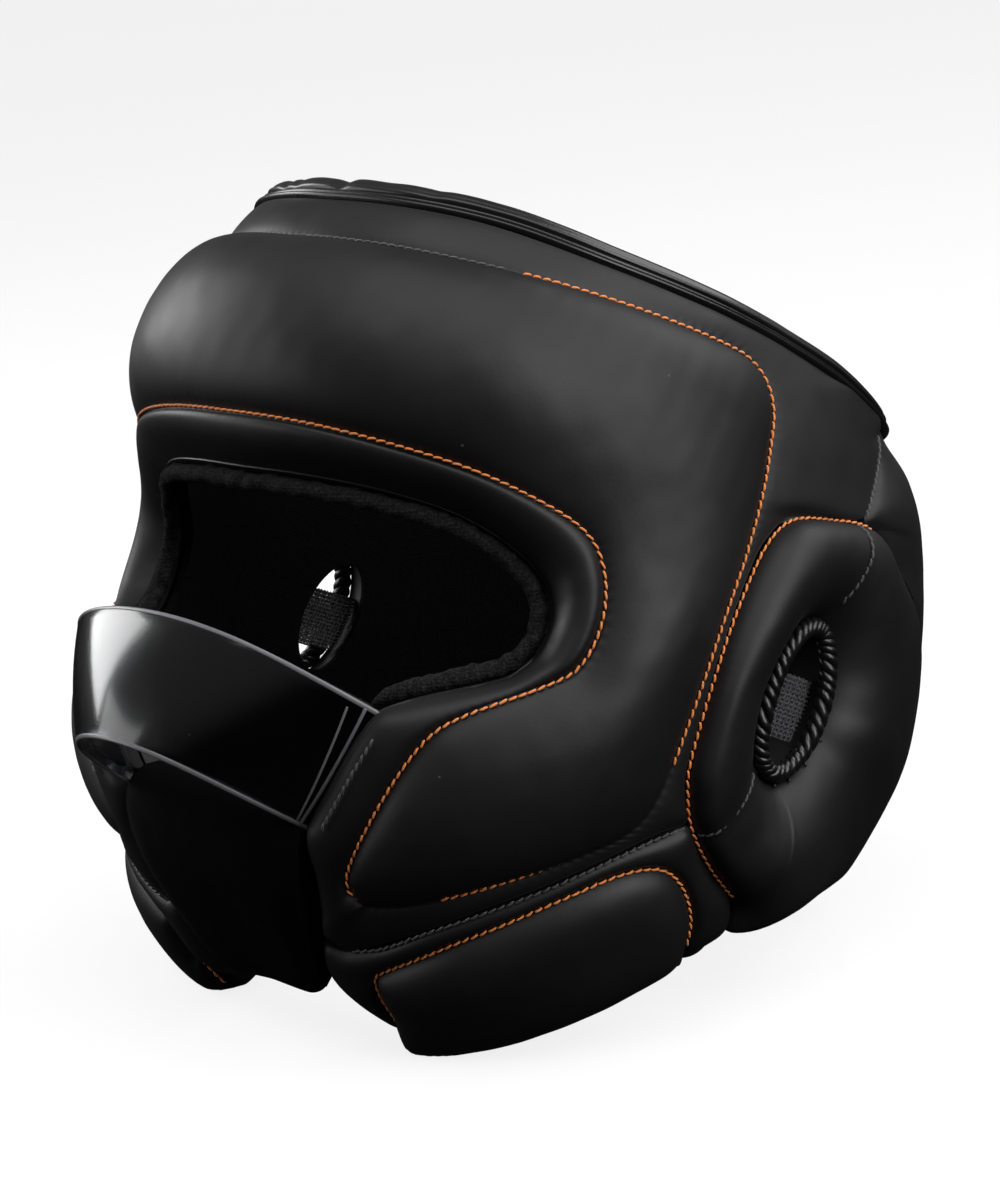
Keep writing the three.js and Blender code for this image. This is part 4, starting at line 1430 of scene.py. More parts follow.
@dataclass
class EarUnit:
    """Ring pad round one ear hole, with its cord edging and its mesh.

    Attributes:
        form: the head form.
        side: side of the head.
        turn: turn of the hole's middle.
        lat: latitude of the hole's middle.
        long: half the hole's length, in degrees.
        wide: half the hole's width, in degrees.
        lean: how far the hole leans back.
        puff: how far the pad stands out in front.
        behind: how far it stands out behind.
        inner: width of its flank at the hole.
        lip_softness: softness of that flank.
        outer: width of its flank at the stitch.
        sink: depth of its edge at the hole.
        rope: thickness of a strand of the cord, with its neighbours' overlap.
        rope_depth: depth of the cord under the shell line.
        rope_ends: places round the hole where a whipping end shows.
        seam_ends: where the jaw seam and the crown seam meet the stitch.
        seam_depths: depth of these two seams where they cross the pad.
        folds: soft folds, by outline point that each runs towards, depth, width and reach from the hole.
        mesh_lats: latitudes of the mesh's lower and upper edge.
        mesh_depth: its depth under the shell line.
        mesh_cell: distance between its threads.
        mesh_thread: half the thickness of a thread.
    """

    form: HeadForm
    side: Side
    turn: float = 97.4
    lat: float = 4.6
    long: float = 12.4
    wide: float = 7.6
    lean: float = 11.5
    puff: float = 10.5
    behind: float = 9.0
    inner: float = 19.0
    lip_softness: float = 1.35
    outer: float = 14.0
    sink: float = 4.6
    rope: float = 2.5
    rope_depth: float = 4.2
    rope_ends: tuple[float, ...] = (97.0, 118.0, 139.0, 160.0)
    seam_ends: tuple[Pair, ...] = ((83.0, -18.2), (103.2, 30.6))
    seam_depths: Pair = (1.3, 0.5)
    folds: tuple[tuple[Pair, float, float, float], ...] = (
        ((97.9, -26.0), 1.3, 3.8, 17.0), ((105.0, -29.0), 0.4, 4.5, 12.0), ((128.0, -16.8), 1.1, 6.5, 16.0),
        ((133.6, 6.0), 0.6, 7.0, 12.0), ((129.0, 23.0), 0.6, 6.0, 12.0),
    )
    mesh_lats: Pair = (-1.4, 8.6)
    mesh_depth: float = 9.5
    mesh_cell: float = 1.3
    mesh_thread: float = 0.34

    @property
    def per_degree(self) -> float:
        """Millimetres in a degree at the hole."""
        return math.radians(float(self.form.radius(np.array([[self.turn, self.lat]]))[0]))

    def hole(self, angle: Array, grow: float) -> Array:
        """Outline of the hole on the wearer's left.

        Args:
            angle: places round it.
            grow: how far it is moved out.

        Returns:
            Seam points.
        """
        along = (self.long + grow / self.per_degree) * np.cos(angle)
        across = (self.wide + grow / self.per_degree) * np.sin(angle)
        s, c = math.sin(math.radians(self.lean)), math.cos(math.radians(self.lean))
        return np.stack([self.turn + across * c + along * s, self.lat + along * c - across * s], -1)

    def bearing(self, seams: Array) -> Array:
        """Direction of seam points from the middle of the hole."""
        return np.arctan2(seams[..., 0] - self.turn, seams[..., 1] - self.lat)

    def ribs(self) -> Ribs:
        """Rows of the pad.

        Returns:
            Ribs from the hole out to the stitch, straight out from the hole's middle.
        """
        outline = Ribs.through(self.form, EAR_STITCH, EAR_STITCH, closed=True)
        hole = self.hole(np.linspace(0, FULL_TURN, 4000), 0.4)
        way = np.unwrap(self.bearing(hole))
        if way[-1] < way[0]:
            way, hole = way[::-1], hole[::-1]
        wanted = (self.bearing(outline.far) - way[0]) % FULL_TURN + way[0]
        return Ribs(read_along(hole, way, wanted), outline.far, outline.step, True)

    def fullness(self, far: Array) -> tuple[Array, Array]:
        """How far the pad stands out in each row, and how wide its flank at the stitch is.

        Args:
            far: the stitch's seam points, one for each row.

        Returns:
            The heights and the widths.
        """
        turn, lat = far[:, 0], far[:, 1]
        low = smoothstep(-lat, -2, 16) * smoothstep(turn, 105, 122)
        leg = smoothstep(-lat, -22, 0) * (1 - smoothstep(turn, 88, 100))
        rise = self.puff + (self.behind - self.puff) * smoothstep(turn, 95, 125) - 2.2 * low - 3.6 * leg
        return rise, self.outer - 8.5 * leg

    def stuffed(self, to_hole: Array, to_stitch: Array, rise: Array, reach: Array,
                fill: Array) -> Array:
        """Height of the pad over its seam valley.

        Args:
            to_hole: distance from the hole.
            to_stitch: distance from the stitch.
            rise: how far the pad stands out.
            reach: width of its flank at the stitch.
            fill: how far the seam is filled up.

        Returns:
            The heights.
        """
        lip = flank(to_hole, self.inner, self.lip_softness)
        return lip * over(flank(to_stitch, reach), rise, fill) - self.sink * (1 - lip)

    @staticmethod
    def row_at(far: Array, seam: Pair) -> int:
        """Row that comes nearest to a point of the stitch."""
        return int(np.argmin(np.linalg.norm(far - np.array(seam), axis=1)))

    @staticmethod
    def row_gap(run: Array, row: int) -> Array:
        """Distance of each row from one row along the closed stitch."""
        away = np.abs(run - run[row])
        return np.minimum(away, run[-1] - away)[:, None]

    def pad(self) -> None:
        """Makes the ring pad, with the two seams that cross it and the folds round the hole."""
        ribs = self.ribs()
        far = ribs.far
        drop = (LOW_EDGE_DROP * smoothstep(-far[:, 1], 16, 25) * smoothstep(far[:, 0], 98, 102))[:, None]
        rise, reach, fill = (values[:, None] for values in (*self.fullness(far), back_fill(far)))
        run = arc(self.form.surface(far))

        def height(to_hole: Array, to_stitch: Array, _: Array) -> Array:
            """Stuffed ring with sewn lines and folds across it."""
            puffed = VALLEY + self.stuffed(to_hole, to_stitch, rise, reach, fill) - drop * fall(to_stitch)
            share = to_hole / (to_hole + to_stitch)
            for seam, depth in zip(self.seam_ends, self.seam_depths):
                away = self.row_gap(run, self.row_at(far, seam)) * (0.35 + 0.65 * share)
                line = 0.7 * np.exp(-(away / 2.6) ** 2) + 0.3 * np.exp(-(away / 0.7) ** 2)
                puffed = puffed - depth * line
            for seam, depth, wide, far_out in self.folds:
                away = self.row_gap(run, self.row_at(far, seam)) * (0.3 + 0.7 * share)
                near_hole = np.exp(-((to_hole - 0.4 * far_out) / (0.6 * far_out)) ** 2)
                puffed = puffed - depth * np.exp(-(away / wide) ** 2) * near_hole
            return puffed

        panel = PaddedPanel(self.form, ribs.on(self.side), height, across=46, gathers=(False, True))
        name = f"ear_pad_{self.side.label}"
        hand_over(panel.build(f"{name}_cover"), MATTE, [name])

    def edging(self) -> None:
        """Makes the cord round the hole, laid from three strands, and the short ends that whip it on."""
        strands, lays = 3, 13
        angle = round_angles(700)
        path = self.form.surface(self.side.seams(self.hole(angle, -0.75 * self.rope)), -self.rope_depth)
        frame = sweep_frame(path, closed=True)
        lay = lays * angle + 0.35 * np.sin(5 * angle + 0.6) + 0.25 * np.sin(11 * angle)
        node = f"ear_rope_{self.side.label}"
        pieces = []
        for strand in range(strands):
            spin = self.side.value * (lay + FULL_TURN * strand / strands)[:, None]
            core = path + 0.52 * self.rope * (frame[0] * np.cos(spin) + frame[1] * np.sin(spin))
            rows = tube(core, 0.56 * self.rope, 9, closed=True)
            pieces.append(loft(f"{node}_{strand}", self.form.place(rows), True))
        away = np.linspace(-0.6, 1.7, 8)
        lip = flank(away, self.inner, self.lip_softness)
        rest = VALLEY + self.behind * lip - self.sink * (1 - lip) + 0.35
        for degrees in self.rope_ends:
            seams = np.concatenate([self.hole(np.array([math.radians(degrees + 4 * a)]), a) for a in away])
            stub = tube(self.form.surface(self.side.seams(seams), rest), 0.34, 6, closed=False)
            pieces.append(loft(f"{node}_end", self.form.place(stub), False))
        hand_over(joined_pieces(f"{node}_strands", pieces), GLOSSY, [node])

    def mesh_band(self) -> None:
        """Makes the open mesh of two layers across the middle of the hole."""
        step = self.mesh_cell / self.per_degree
        shear = math.tan(math.radians(self.lean))
        low, high = self.mesh_lats
        along = np.linspace(-1, 1, 26)
        lats = np.linspace(low, high, len(along))

        def reach(lat: Array) -> Array:
            """Half the hole's width at a latitude."""
            return self.wide * np.sqrt(1 - ((lat - self.lat) / self.long) ** 2) - 0.3

        lines: list[Array] = []
        for lat in np.arange(low, high + step / 2, step):
            across = self.turn + (lat - self.lat) * shear + along * reach(np.array(lat))
            lines.append(np.stack([across, np.full(len(along), lat)], -1))
        for offset in np.arange(-self.wide + 0.6, self.wide - 0.5, step):
            if (np.abs(offset) < reach(lats)).all():
                lines.append(np.stack([self.turn + (lats - self.lat) * shear + offset, lats], -1))
        angle = round_angles(5)
        sections = []
        for number, line in enumerate(lines + [line + 0.5 * step for line in lines]):
            under = 1.3 * (number >= len(lines))
            weave = 0.22 * np.cos(np.arange(len(line)) * math.pi + number * math.pi)
            path = self.form.surface(self.side.seams(line), -self.mesh_depth + (weave - under))
            out = unit(path)
            ring = rings(np.cross(unit(np.gradient(path, axis=0)), out), out, angle)
            sections.append(path[:, None] + self.mesh_thread * ring)
        node = f"ear_mesh_{self.side.label}"
        hand_over(threads(f"{node}_threads", self.form.place(np.stack(sections)), along, angle), MESH, [node])

    def thread_runs(self) -> tuple[list[Run], list[Run]]:
        """Stitches of the pad.

        Returns:
            The orange run round the pad, and the black runs of the seams that cross it.
        """
        ribs = self.ribs()
        far = ribs.far
        sewn = (far[:, 1] > -25.8) & (far[:, 0] < np.where(far[:, 1] > 0, 115.2, 100))
        start = int(np.argmax(~sewn))
        keep = np.roll(far, -start, axis=0)[np.roll(sewn, -start)]
        rise, reach = self.fullness(far)
        fill = back_fill(far)
        share = np.linspace(0.12, 0.97, 60)
        black = []
        for seam, depth in zip(self.seam_ends, self.seam_depths):
            row = self.row_at(far, seam)
            line = ribs.near[row] * (1 - share[:, None]) + far[row] * share[:, None]
            ends = self.form.surface(np.stack([ribs.near[row], far[row]]))
            width = float(np.linalg.norm(ends[0] - ends[1]))
            up = self.stuffed(share * width, (1 - share) * width, rise[row], reach[row], fill[row])
            black.append((self.side.seams(line), up - depth - 0.1))
        return [(self.side.seams(keep), back_fill(keep))], black


@dataclass
class JawUnit:
    """Jaw leather and the jaw pad sewn on it.

    Attributes:
        form: the head form.
        side: side of the head.
        roll: how far the jaw leather stands out.
        roll_flank: width of its flank.
        front_drop: drop of its free edge at the chin.
        end_drop: drop at its first and last row.
        puff: how far the pad stands out.
        inner: width of the pad's flank at the stitch.
        outer: width of its flank at the lower edge.
        lengths: lengths of the leather and of the pad from end to end, for the rounding of their ends.
    """

    form: HeadForm
    side: Side
    roll: float = 3.4
    roll_flank: float = 8.0
    front_drop: float = 7.0
    end_drop: float = 5.0
    puff: float = 6.5
    inner: float = 12.0
    outer: float = 14.0
    lengths: Pair = (26.0, 20.5)

    def panel(self) -> None:
        """Makes the leather of the jaw round the pad."""
        ribs = Ribs.through(self.form, JAW_RIBS[:, :2], JAW_RIBS[:, 2:4])
        drop = (self.front_drop * (1 - np.minimum(1, ribs.step / 0.2)))[:, None]
        ends = (np.minimum(ribs.step, 1 - ribs.step) * self.lengths[0])[:, None]

        def height(to_edge: Array, to_pad: Array, _: Array) -> Array:
            """Low roll between the seam and the pad, dropped at the chin and at both ends."""
            swell = self.roll * flank(to_edge, self.roll_flank) * flank(to_pad, self.roll_flank)
            return VALLEY + swell - drop * fall(to_edge) - self.end_drop * fall(ends, 2.0)

        panel = PaddedPanel(self.form, ribs.on(self.side), height, across=18, gathers=(False, True))
        name = f"jaw_panel_{self.side.label}"
        hand_over(panel.build(f"{name}_cover"), MATTE, [name])

    def pad_ribs(self) -> Ribs:
        """Rows of the pad.

        Returns:
            Ribs from its stitch down to the lower edge.
        """
        rows = len(JAW_RIBS) - 1
        fine = np.linspace(1.2 / rows, 1 - 1.1 / rows, 400)
        near = spline(JAW_RIBS[:, 2:4], fine)
        far = spline(JAW_RIBS[1:-1, 4:6], (fine * rows - 1) / (rows - 2))
        return Ribs.through(self.form, near, far)

    def pad(self) -> None:
        """Makes the stuffed jaw pad."""
        ribs = self.pad_ribs()
        ends = (np.minimum(ribs.step, 1 - ribs.step) * self.lengths[1])[:, None]

        def height(to_stitch: Array, to_lower: Array, _: Array) -> Array:
            """Full pad that rolls under at its lower edge."""
            swell = self.puff * flank(to_stitch, self.inner) * flank(to_lower, self.outer, ROUND)
            return VALLEY + swell * flank(ends + 0.9, 3.0) - LOW_EDGE_DROP * fall(to_lower)

        panel = PaddedPanel(self.form, ribs.on(self.side), height, across=44, gathers=(True, False))
        name = f"jaw_pad_{self.side.label}"
        hand_over(panel.build(f"{name}_cover"), MATTE, [name])

    def thread_runs(self) -> tuple[list[Run], list[Run]]:
        """Stitches of the jaw.

        Returns:
            The orange run round the pad, and the black run along the jaw seam.
        """
        seam = Ribs.through(self.form, JAW_RIBS[4:12, :2], JAW_RIBS[4:12, :2])
        front = spline(JAW_RIBS[:, 2:4], np.linspace(0.3, 1.15, 20) / (len(JAW_RIBS) - 1))
        pad = np.concatenate([front, self.pad_ribs().near])
        return [level_run(self.side.seams(pad))], [level_run(self.side.seams(seam.near))]


@dataclass
class BackUnit:
    """Padded halves of the back and the strap that closes them.

    Attributes:
        form: the head form.
        puff: how far a half stands out.
        flank: width of its flanks.
        length: length of a half from the nape to the rim, for the rounding of its ends.
        middle_drop: drop of its free edge at the middle of the back.
        strap_turn: half the strap's length, in degrees.
        strap_lats: latitudes of its edges.
        strap_lift: height of its back over the shell line.
        strap_thick: its thickness.
        strap_edge: its thickness at the edges.
        strap_inset: how far in the strap's stitches run, as a share of its width.
    """

    form: HeadForm
    puff: float = 7.2
    flank: float = 16.0
    length: float = 16.0
    middle_drop: float = 5.0
    strap_turn: float = 24.0
    strap_lats: Pair = (2.0, 21.0)
    strap_lift: float = 4.8
    strap_thick: float = 3.0
    strap_edge: float = 0.9
    strap_inset: float = 0.07

    def half(self, side: Side) -> None:
        """Makes a padded half of the back.

        Args:
            side: which half.
        """
        ribs = Ribs.through(self.form, under_rim(BACK_RIBS[:, :2]), under_rim(BACK_RIBS[:, 2:]))
        low, high = (self.length * ribs.step)[:, None], (self.length * (1 - ribs.step))[:, None]
        fill = back_fill(ribs.near)[:, None]
        puff = (self.puff - 2.0 * smoothstep(-ribs.near[:, 1], -2, 16))[:, None]

        def height(to_ear: Array, to_middle: Array, _: Array) -> Array:
            """Full half that rolls under at the nape and at the middle of the back."""
            ear_side = flank(to_ear, self.flank)
            swell = puff * ear_side * flank(to_middle, self.flank) * flank(high, 3.0) + fill * (1 - ear_side)
            return VALLEY + swell - LOW_EDGE_DROP * fall(low, 2.2) - self.middle_drop * fall(to_middle)

        panel = PaddedPanel(self.form, ribs.on(side), height, across=56, gathers=(True, False))
        name = f"back_panel_{side.label}"
        hand_over(panel.build(f"{name}_cover"), MATTE, [name])

    def strap_turns(self, count: int, inset: float = 0.0) -> Array:
        """Signed turns along the strap, right across the back."""
        turns = np.linspace(180 - self.strap_turn + inset, 180 + self.strap_turn - inset, count)
        return np.where(turns > 180, turns - 360, turns)

    def strap(self) -> None:
        """Makes the closing strap over both halves, with rounded edges."""
        count, around = 120, 26
        edge, ends = (np.abs(np.linspace(-1, 1, size)) for size in (around, count))
        crown = (1 - edge ** 8)[None] * (1 - ends ** 24)[:, None]
        lats = np.linspace(*self.strap_lats, around)
        seams = np.stack(np.meshgrid(self.strap_turns(count), lats, indexing="ij"), -1)
        groove = 0.45 * (np.exp(-((edge - 0.86) / 0.03) ** 2))[None]
        rise = self.strap_edge + (self.strap_thick - self.strap_edge) * crown - groove
        top, under = (self.form.surface(seams, self.strap_lift + up) for up in (rise, 0.0))
        rows = np.concatenate([top, under[:, ::-1]], 1)
        hand_over(loft("back_strap_band", self.form.place(rows), False), MATTE, ["back_strap"])

    def thread_runs(self) -> tuple[list[Run], list[Run]]:
        """Stitches of the back.

        Returns:
            No orange runs, and black runs from the top of each ear to the rim and along the strap's edges.
        """
        table = BACK_RIBS[9:, :2]
        seam = Ribs.through(self.form, table, table).near[:-3]
        crown = [(side.seams(seam), back_fill(seam) - 0.05) for side in Side]
        turns = self.strap_turns(200, 2.0)
        low, high = self.strap_lats
        inset = self.strap_inset * (high - low)
        rise = self.strap_lift + self.strap_thick - VALLEY - 0.6
        strap = [level_run(np.stack([turns, np.full(len(turns), lat)], -1), rise)
                 for lat in (low + inset, high - inset)]
        return [], crown + strap


@dataclass
class Crown:
    """Rolled rim of the open crown and the twin piping under it.

    Attributes:
        form: the head form.
        packed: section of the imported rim, outside to inside, as offsets and rises over the rim seam.
        rim: section of the full leather roll.
        piping: section of the twin piping.
        wrinkle: size of the roll's wrinkles.
        pinches: turns and depths of the creases where the roll is gathered at the front.
        pinch_width: half width of such a crease, in degrees of turn.
    """

    form: HeadForm
    packed: tuple[Pair, ...] = (
        (0.6, 1.25), (2.2, 1.7), (1.9, 2.5), (-1.5, 3.4), (-7, 3.8), (-12.5, 3.3), (-16, 2.2), (-16.6, 0.9))
    rim: tuple[Pair, ...] = (
        (0.6, 1.25), (2.7, 1.9), (2.6, 3.0), (-1.0, 4.3), (-7, 4.7), (-12.5, 4.0), (-16, 2.4), (-16.6, 0.9))
    piping: tuple[Pair, ...] = (
        (-0.4, 0.0), (1.3, 0.02), (2.0, 0.24), (1.3, 0.46), (0.5, 0.56), (1.3, 0.68), (2.0, 0.9), (1.3, 1.12),
        (-0.4, 1.15), (-1.0, 0.6))
    wrinkle: float = 0.2
    pinches: tuple[Pair, ...] = (
        (-25.0, 0.5), (-15.0, 0.7), (-11.0, 0.5), (1.0, 1.0), (19.0, 0.3))
    pinch_width: float = 1.6

    def ring(self, name: str, section: Sequence[Pair], count: int, around: int,
             wrinkled: bool) -> Piece:
        """Body round the crown from a section of offsets and rises over the rim seam.

        Args:
            name: the piece's name.
            section: offsets in millimetres and rises in degrees.
            count: sections round the crown.
            around: points round a section.
            wrinkled: whether the leather is wrinkled and pinched.

        Returns:
            The ring.
        """
        table = np.array(section, float)
        table = np.concatenate([table[-2:], table, table[:3]])
        last = len(table) - 1
        curve = spline(table, np.linspace(2 / last, 1 - 2 / last, around, endpoint=False))
        turns = signed_turns(count)
        seam = np.stack([turns, rim_lat(turns)], -1)
        lat = seam[:, 1:] + curve[None, :, 1]
        ground = self.form.rays(np.stack([np.broadcast_to(turns[:, None], lat.shape), lat], -1))
        points = ground * (self.form.radius(seam)[:, None] + curve[None, :, 0])[..., None]
        if wrinkled:
            front = np.exp(-((np.abs(turns) - 4) / 14) ** 2)[:, None]
            creases = (0.05 + 0.5 * front) * CREASES(points * np.array([0.8, 0.8, 0.5]))
            fold = 0.5 * SOFTNESS(points * 0.8) + creases
            dips = sum(depth * np.exp(-((turns - at) / self.pinch_width) ** 2) for at, depth in self.pinches)
            pinch = dips[:, None] * smoothstep(curve[None, :, 0], -6.0, 1.0)
            points = points + ground * (self.wrinkle * fold - pinch)[..., None]
        return loft(name, self.form.place(points), True)

    def build(self) -> None:
        """Makes the rim and the piping."""
        hand_over(self.ring("crown_rim_roll", self.rim, 520, 34, True), GLOSSY, ["crown_rim"])
        hand_over(self.ring("crown_piping_twin", self.piping, 480, 22, False), GLOSSY, ["crown_piping"])


@dataclass(frozen=True)
class BarPatch:
    """Part of the bar, in places along it and across it from 0 to 1.

    Attributes:
        start: where it starts along the bar, at the top and at the bottom.
        end: where it ends, at the top and at the bottom.
        across: from where to where it runs across the bar.
        divisions: faces along and across.
        thick: its thickness.
        lift: how far out of the bar's middle it lies.
        rounding: radius of its edges.
    """

    start: Pair = (0.0, 0.0)
    end: Pair = (1.0, 1.0)
    across: Pair = (0.0, 1.0)
    divisions: tuple[int, int] = (96, 12)
    thick: float = 4.4
    lift: float = 0.0
    rounding: float = 1.5

    def spread(self, u: Array, w: Array) -> tuple[Array, Array]:
        """Places along and across the bar for places on the patch.

        Args:
            u: places along the patch.
            w: places across it.

        Returns:
            Places along the bar, and across it.
        """
        v = self.across[0] + (self.across[1] - self.across[0]) * w
        first = self.start[0] + (self.start[1] - self.start[0]) * v
        last = self.end[0] + (self.end[1] - self.end[0]) * v
        return first + (last - first) * u, v


WHOLE_BAR = BarPatch()

# Ground edges along the top and bottom, then the ribs beside the pockets on either side, all light grey as
# painted highlight
BAR_EDGES = (
    BarPatch((0.02, 0.02), (0.98, 0.98), (-0.012, 0.022), (96, 2), 1.2, 1.8, 0.45),
    BarPatch((0.02, 0.02), (0.98, 0.98), (0.972, 1.012), (96, 2), 1.2, 1.8, 0.45),
    BarPatch((0.902, 0.935), (0.9075, 0.9405), (0.01, 0.99), (2, 16), 0.9, 2.2, 0.2),
    BarPatch((0.872, 0.928), (0.876, 0.932), (0.06, 0.97), (2, 16), 0.8, 2.1, 0.15),
    BarPatch((0.0925, 0.0595), (0.098, 0.065), (0.01, 0.99), (2, 16), 0.9, 2.2, 0.2),
    BarPatch((0.124, 0.068), (0.128, 0.072), (0.06, 0.97), (2, 16), 0.8, 2.1, 0.15),
)


@dataclass
class FaceBar:
    """Clear bowed bar in front of the mouth.

    Attributes:
        form: the head form.
        bow: how far its middle stands out between the edges.
        pocket: space round its ends in the cheeks.
    """

    form: HeadForm
    bow: float = 1.6
    pocket: float = 0.4

    @staticmethod
    def edge(column: int, t: Array) -> Array:
        """Top or bottom edge of the bar, as one even bow close to its table's points.

        Args:
            column: first column of the edge in the table.
            t: places along the bar, 0 to 1.

        Returns:
            Points in the rim's frame.
        """
        runs = [arc(BAR_RIBS[:, k:k + 3]) for k in BAR_COLUMNS]
        knots = sum(run / run[-1] for run in runs) / 2
        at = 2 * t - 1
        curve = []
        for axis, powers in enumerate(((1, 3, 5), (0, 2, 4, 6), (0, 2, 4))):
            basis = np.stack([knots ** p for p in powers], -1)
            share = np.linalg.lstsq(basis, BAR_RIBS[:, column + axis], rcond=None)[0]
            curve.append(np.stack([at ** p for p in powers], -1) @ share)
        return np.stack(curve, -1)

    def bent(self, t: Array, v: Array, lift: float, grow: float) -> Array:
        """Points of the bar's middle surface.

        Args:
            t: places along the bar.
            v: places across it.
            lift: how far out of the middle surface they lie.
            grow: how far the outermost points are moved out, for the pocket.

        Returns:
            Points in the rim's frame.
        """
        top, low = (self.edge(k, t) for k in BAR_COLUMNS)
        step = 1e-3
        ahead, back = np.minimum(t + step, 1), np.maximum(t - step, 0)
        along = unit(sum(self.edge(k, ahead) - self.edge(k, back) for k in BAR_COLUMNS))
        down = low - top
        out = unit(np.cross(down, along))
        sides, ends = (grow * ((at > 1 - step).astype(float) - (at < step))[:, None] for at in (v, t))
        return (top + down * v[:, None] + out * (self.bow * (1 - (2 * v - 1) ** 2) + lift)[:, None]
                + unit(down) * sides + along * ends)

    def build(self, name: str, grow: float = 0.0, patch: BarPatch = WHOLE_BAR) -> Piece:
        """Bends a grid to the bar's middle surface, then thickens and rounds it.

        Args:
            name: the piece's name.
            grow: thickens it all round, for its pocket.
            patch: which part of the bar it covers.

        Returns:
            The bar.
        """
        columns, rows = patch.divisions
        bpy.ops.object.select_all(action="DESELECT")
        bpy.ops.mesh.primitive_grid_add(x_subdivisions=columns, y_subdivisions=rows, size=2.0)
        bar = bpy.context.object
        bar.name = bar.data.name = name
        flat = np.array([v.co for v in bar.data.vertices], float)
        points = self.bent(*patch.spread((flat[:, 0] + 1) / 2, (1 - flat[:, 1]) / 2), patch.lift, grow)
        bar.data.vertices.foreach_set("co", self.form.place(points).astype(np.float32).ravel())
        select_only(bar)
        thicken = bar.modifiers.new("thickness", "SOLIDIFY")
        thicken.thickness, thicken.offset = (patch.thick + 2 * grow) * MM, 0.0
        bpy.ops.object.modifier_apply(modifier=thicken.name)
        if grow == 0:
            rounding = bar.modifiers.new("rounded edges", "BEVEL")
            rounding.width, rounding.segments, rounding.limit_method = patch.rounding * MM, 4, "ANGLE"
            rounding.angle_limit = CRISP_ANGLE
            bpy.ops.object.modifier_apply(modifier=rounding.name)
        bpy.ops.object.mode_set(mode="EDIT")
        bpy.ops.mesh.select_all(action="SELECT")
        bpy.ops.mesh.normals_make_consistent(inside=False)
        bpy.ops.object.mode_set(mode="OBJECT")
        bpy.ops.object.shade_smooth()
        return bar

    def pocket_tool(self) -> Piece:
        """Cutter for the bar's pockets in the cheeks."""
        return self.build("bar_pocket", self.pocket)

    def pieces(self) -> None:
        """Makes the bar, its ground edges and the two ribs across it beside each pocket, light grey as
        painted highlight.
        """
        hand_over(self.build("face_bar_clear"), CLEAR, ["face_bar"])
        strips = [self.build(f"bar_edge_{number}", patch=patch) for number, patch in enumerate(BAR_EDGES)]
        # painted highlight: light grey strips along the edges and beside the pockets
        hand_over(joined_pieces("face_bar_ground_edges", strips), GROUND_HIGHLIGHT)


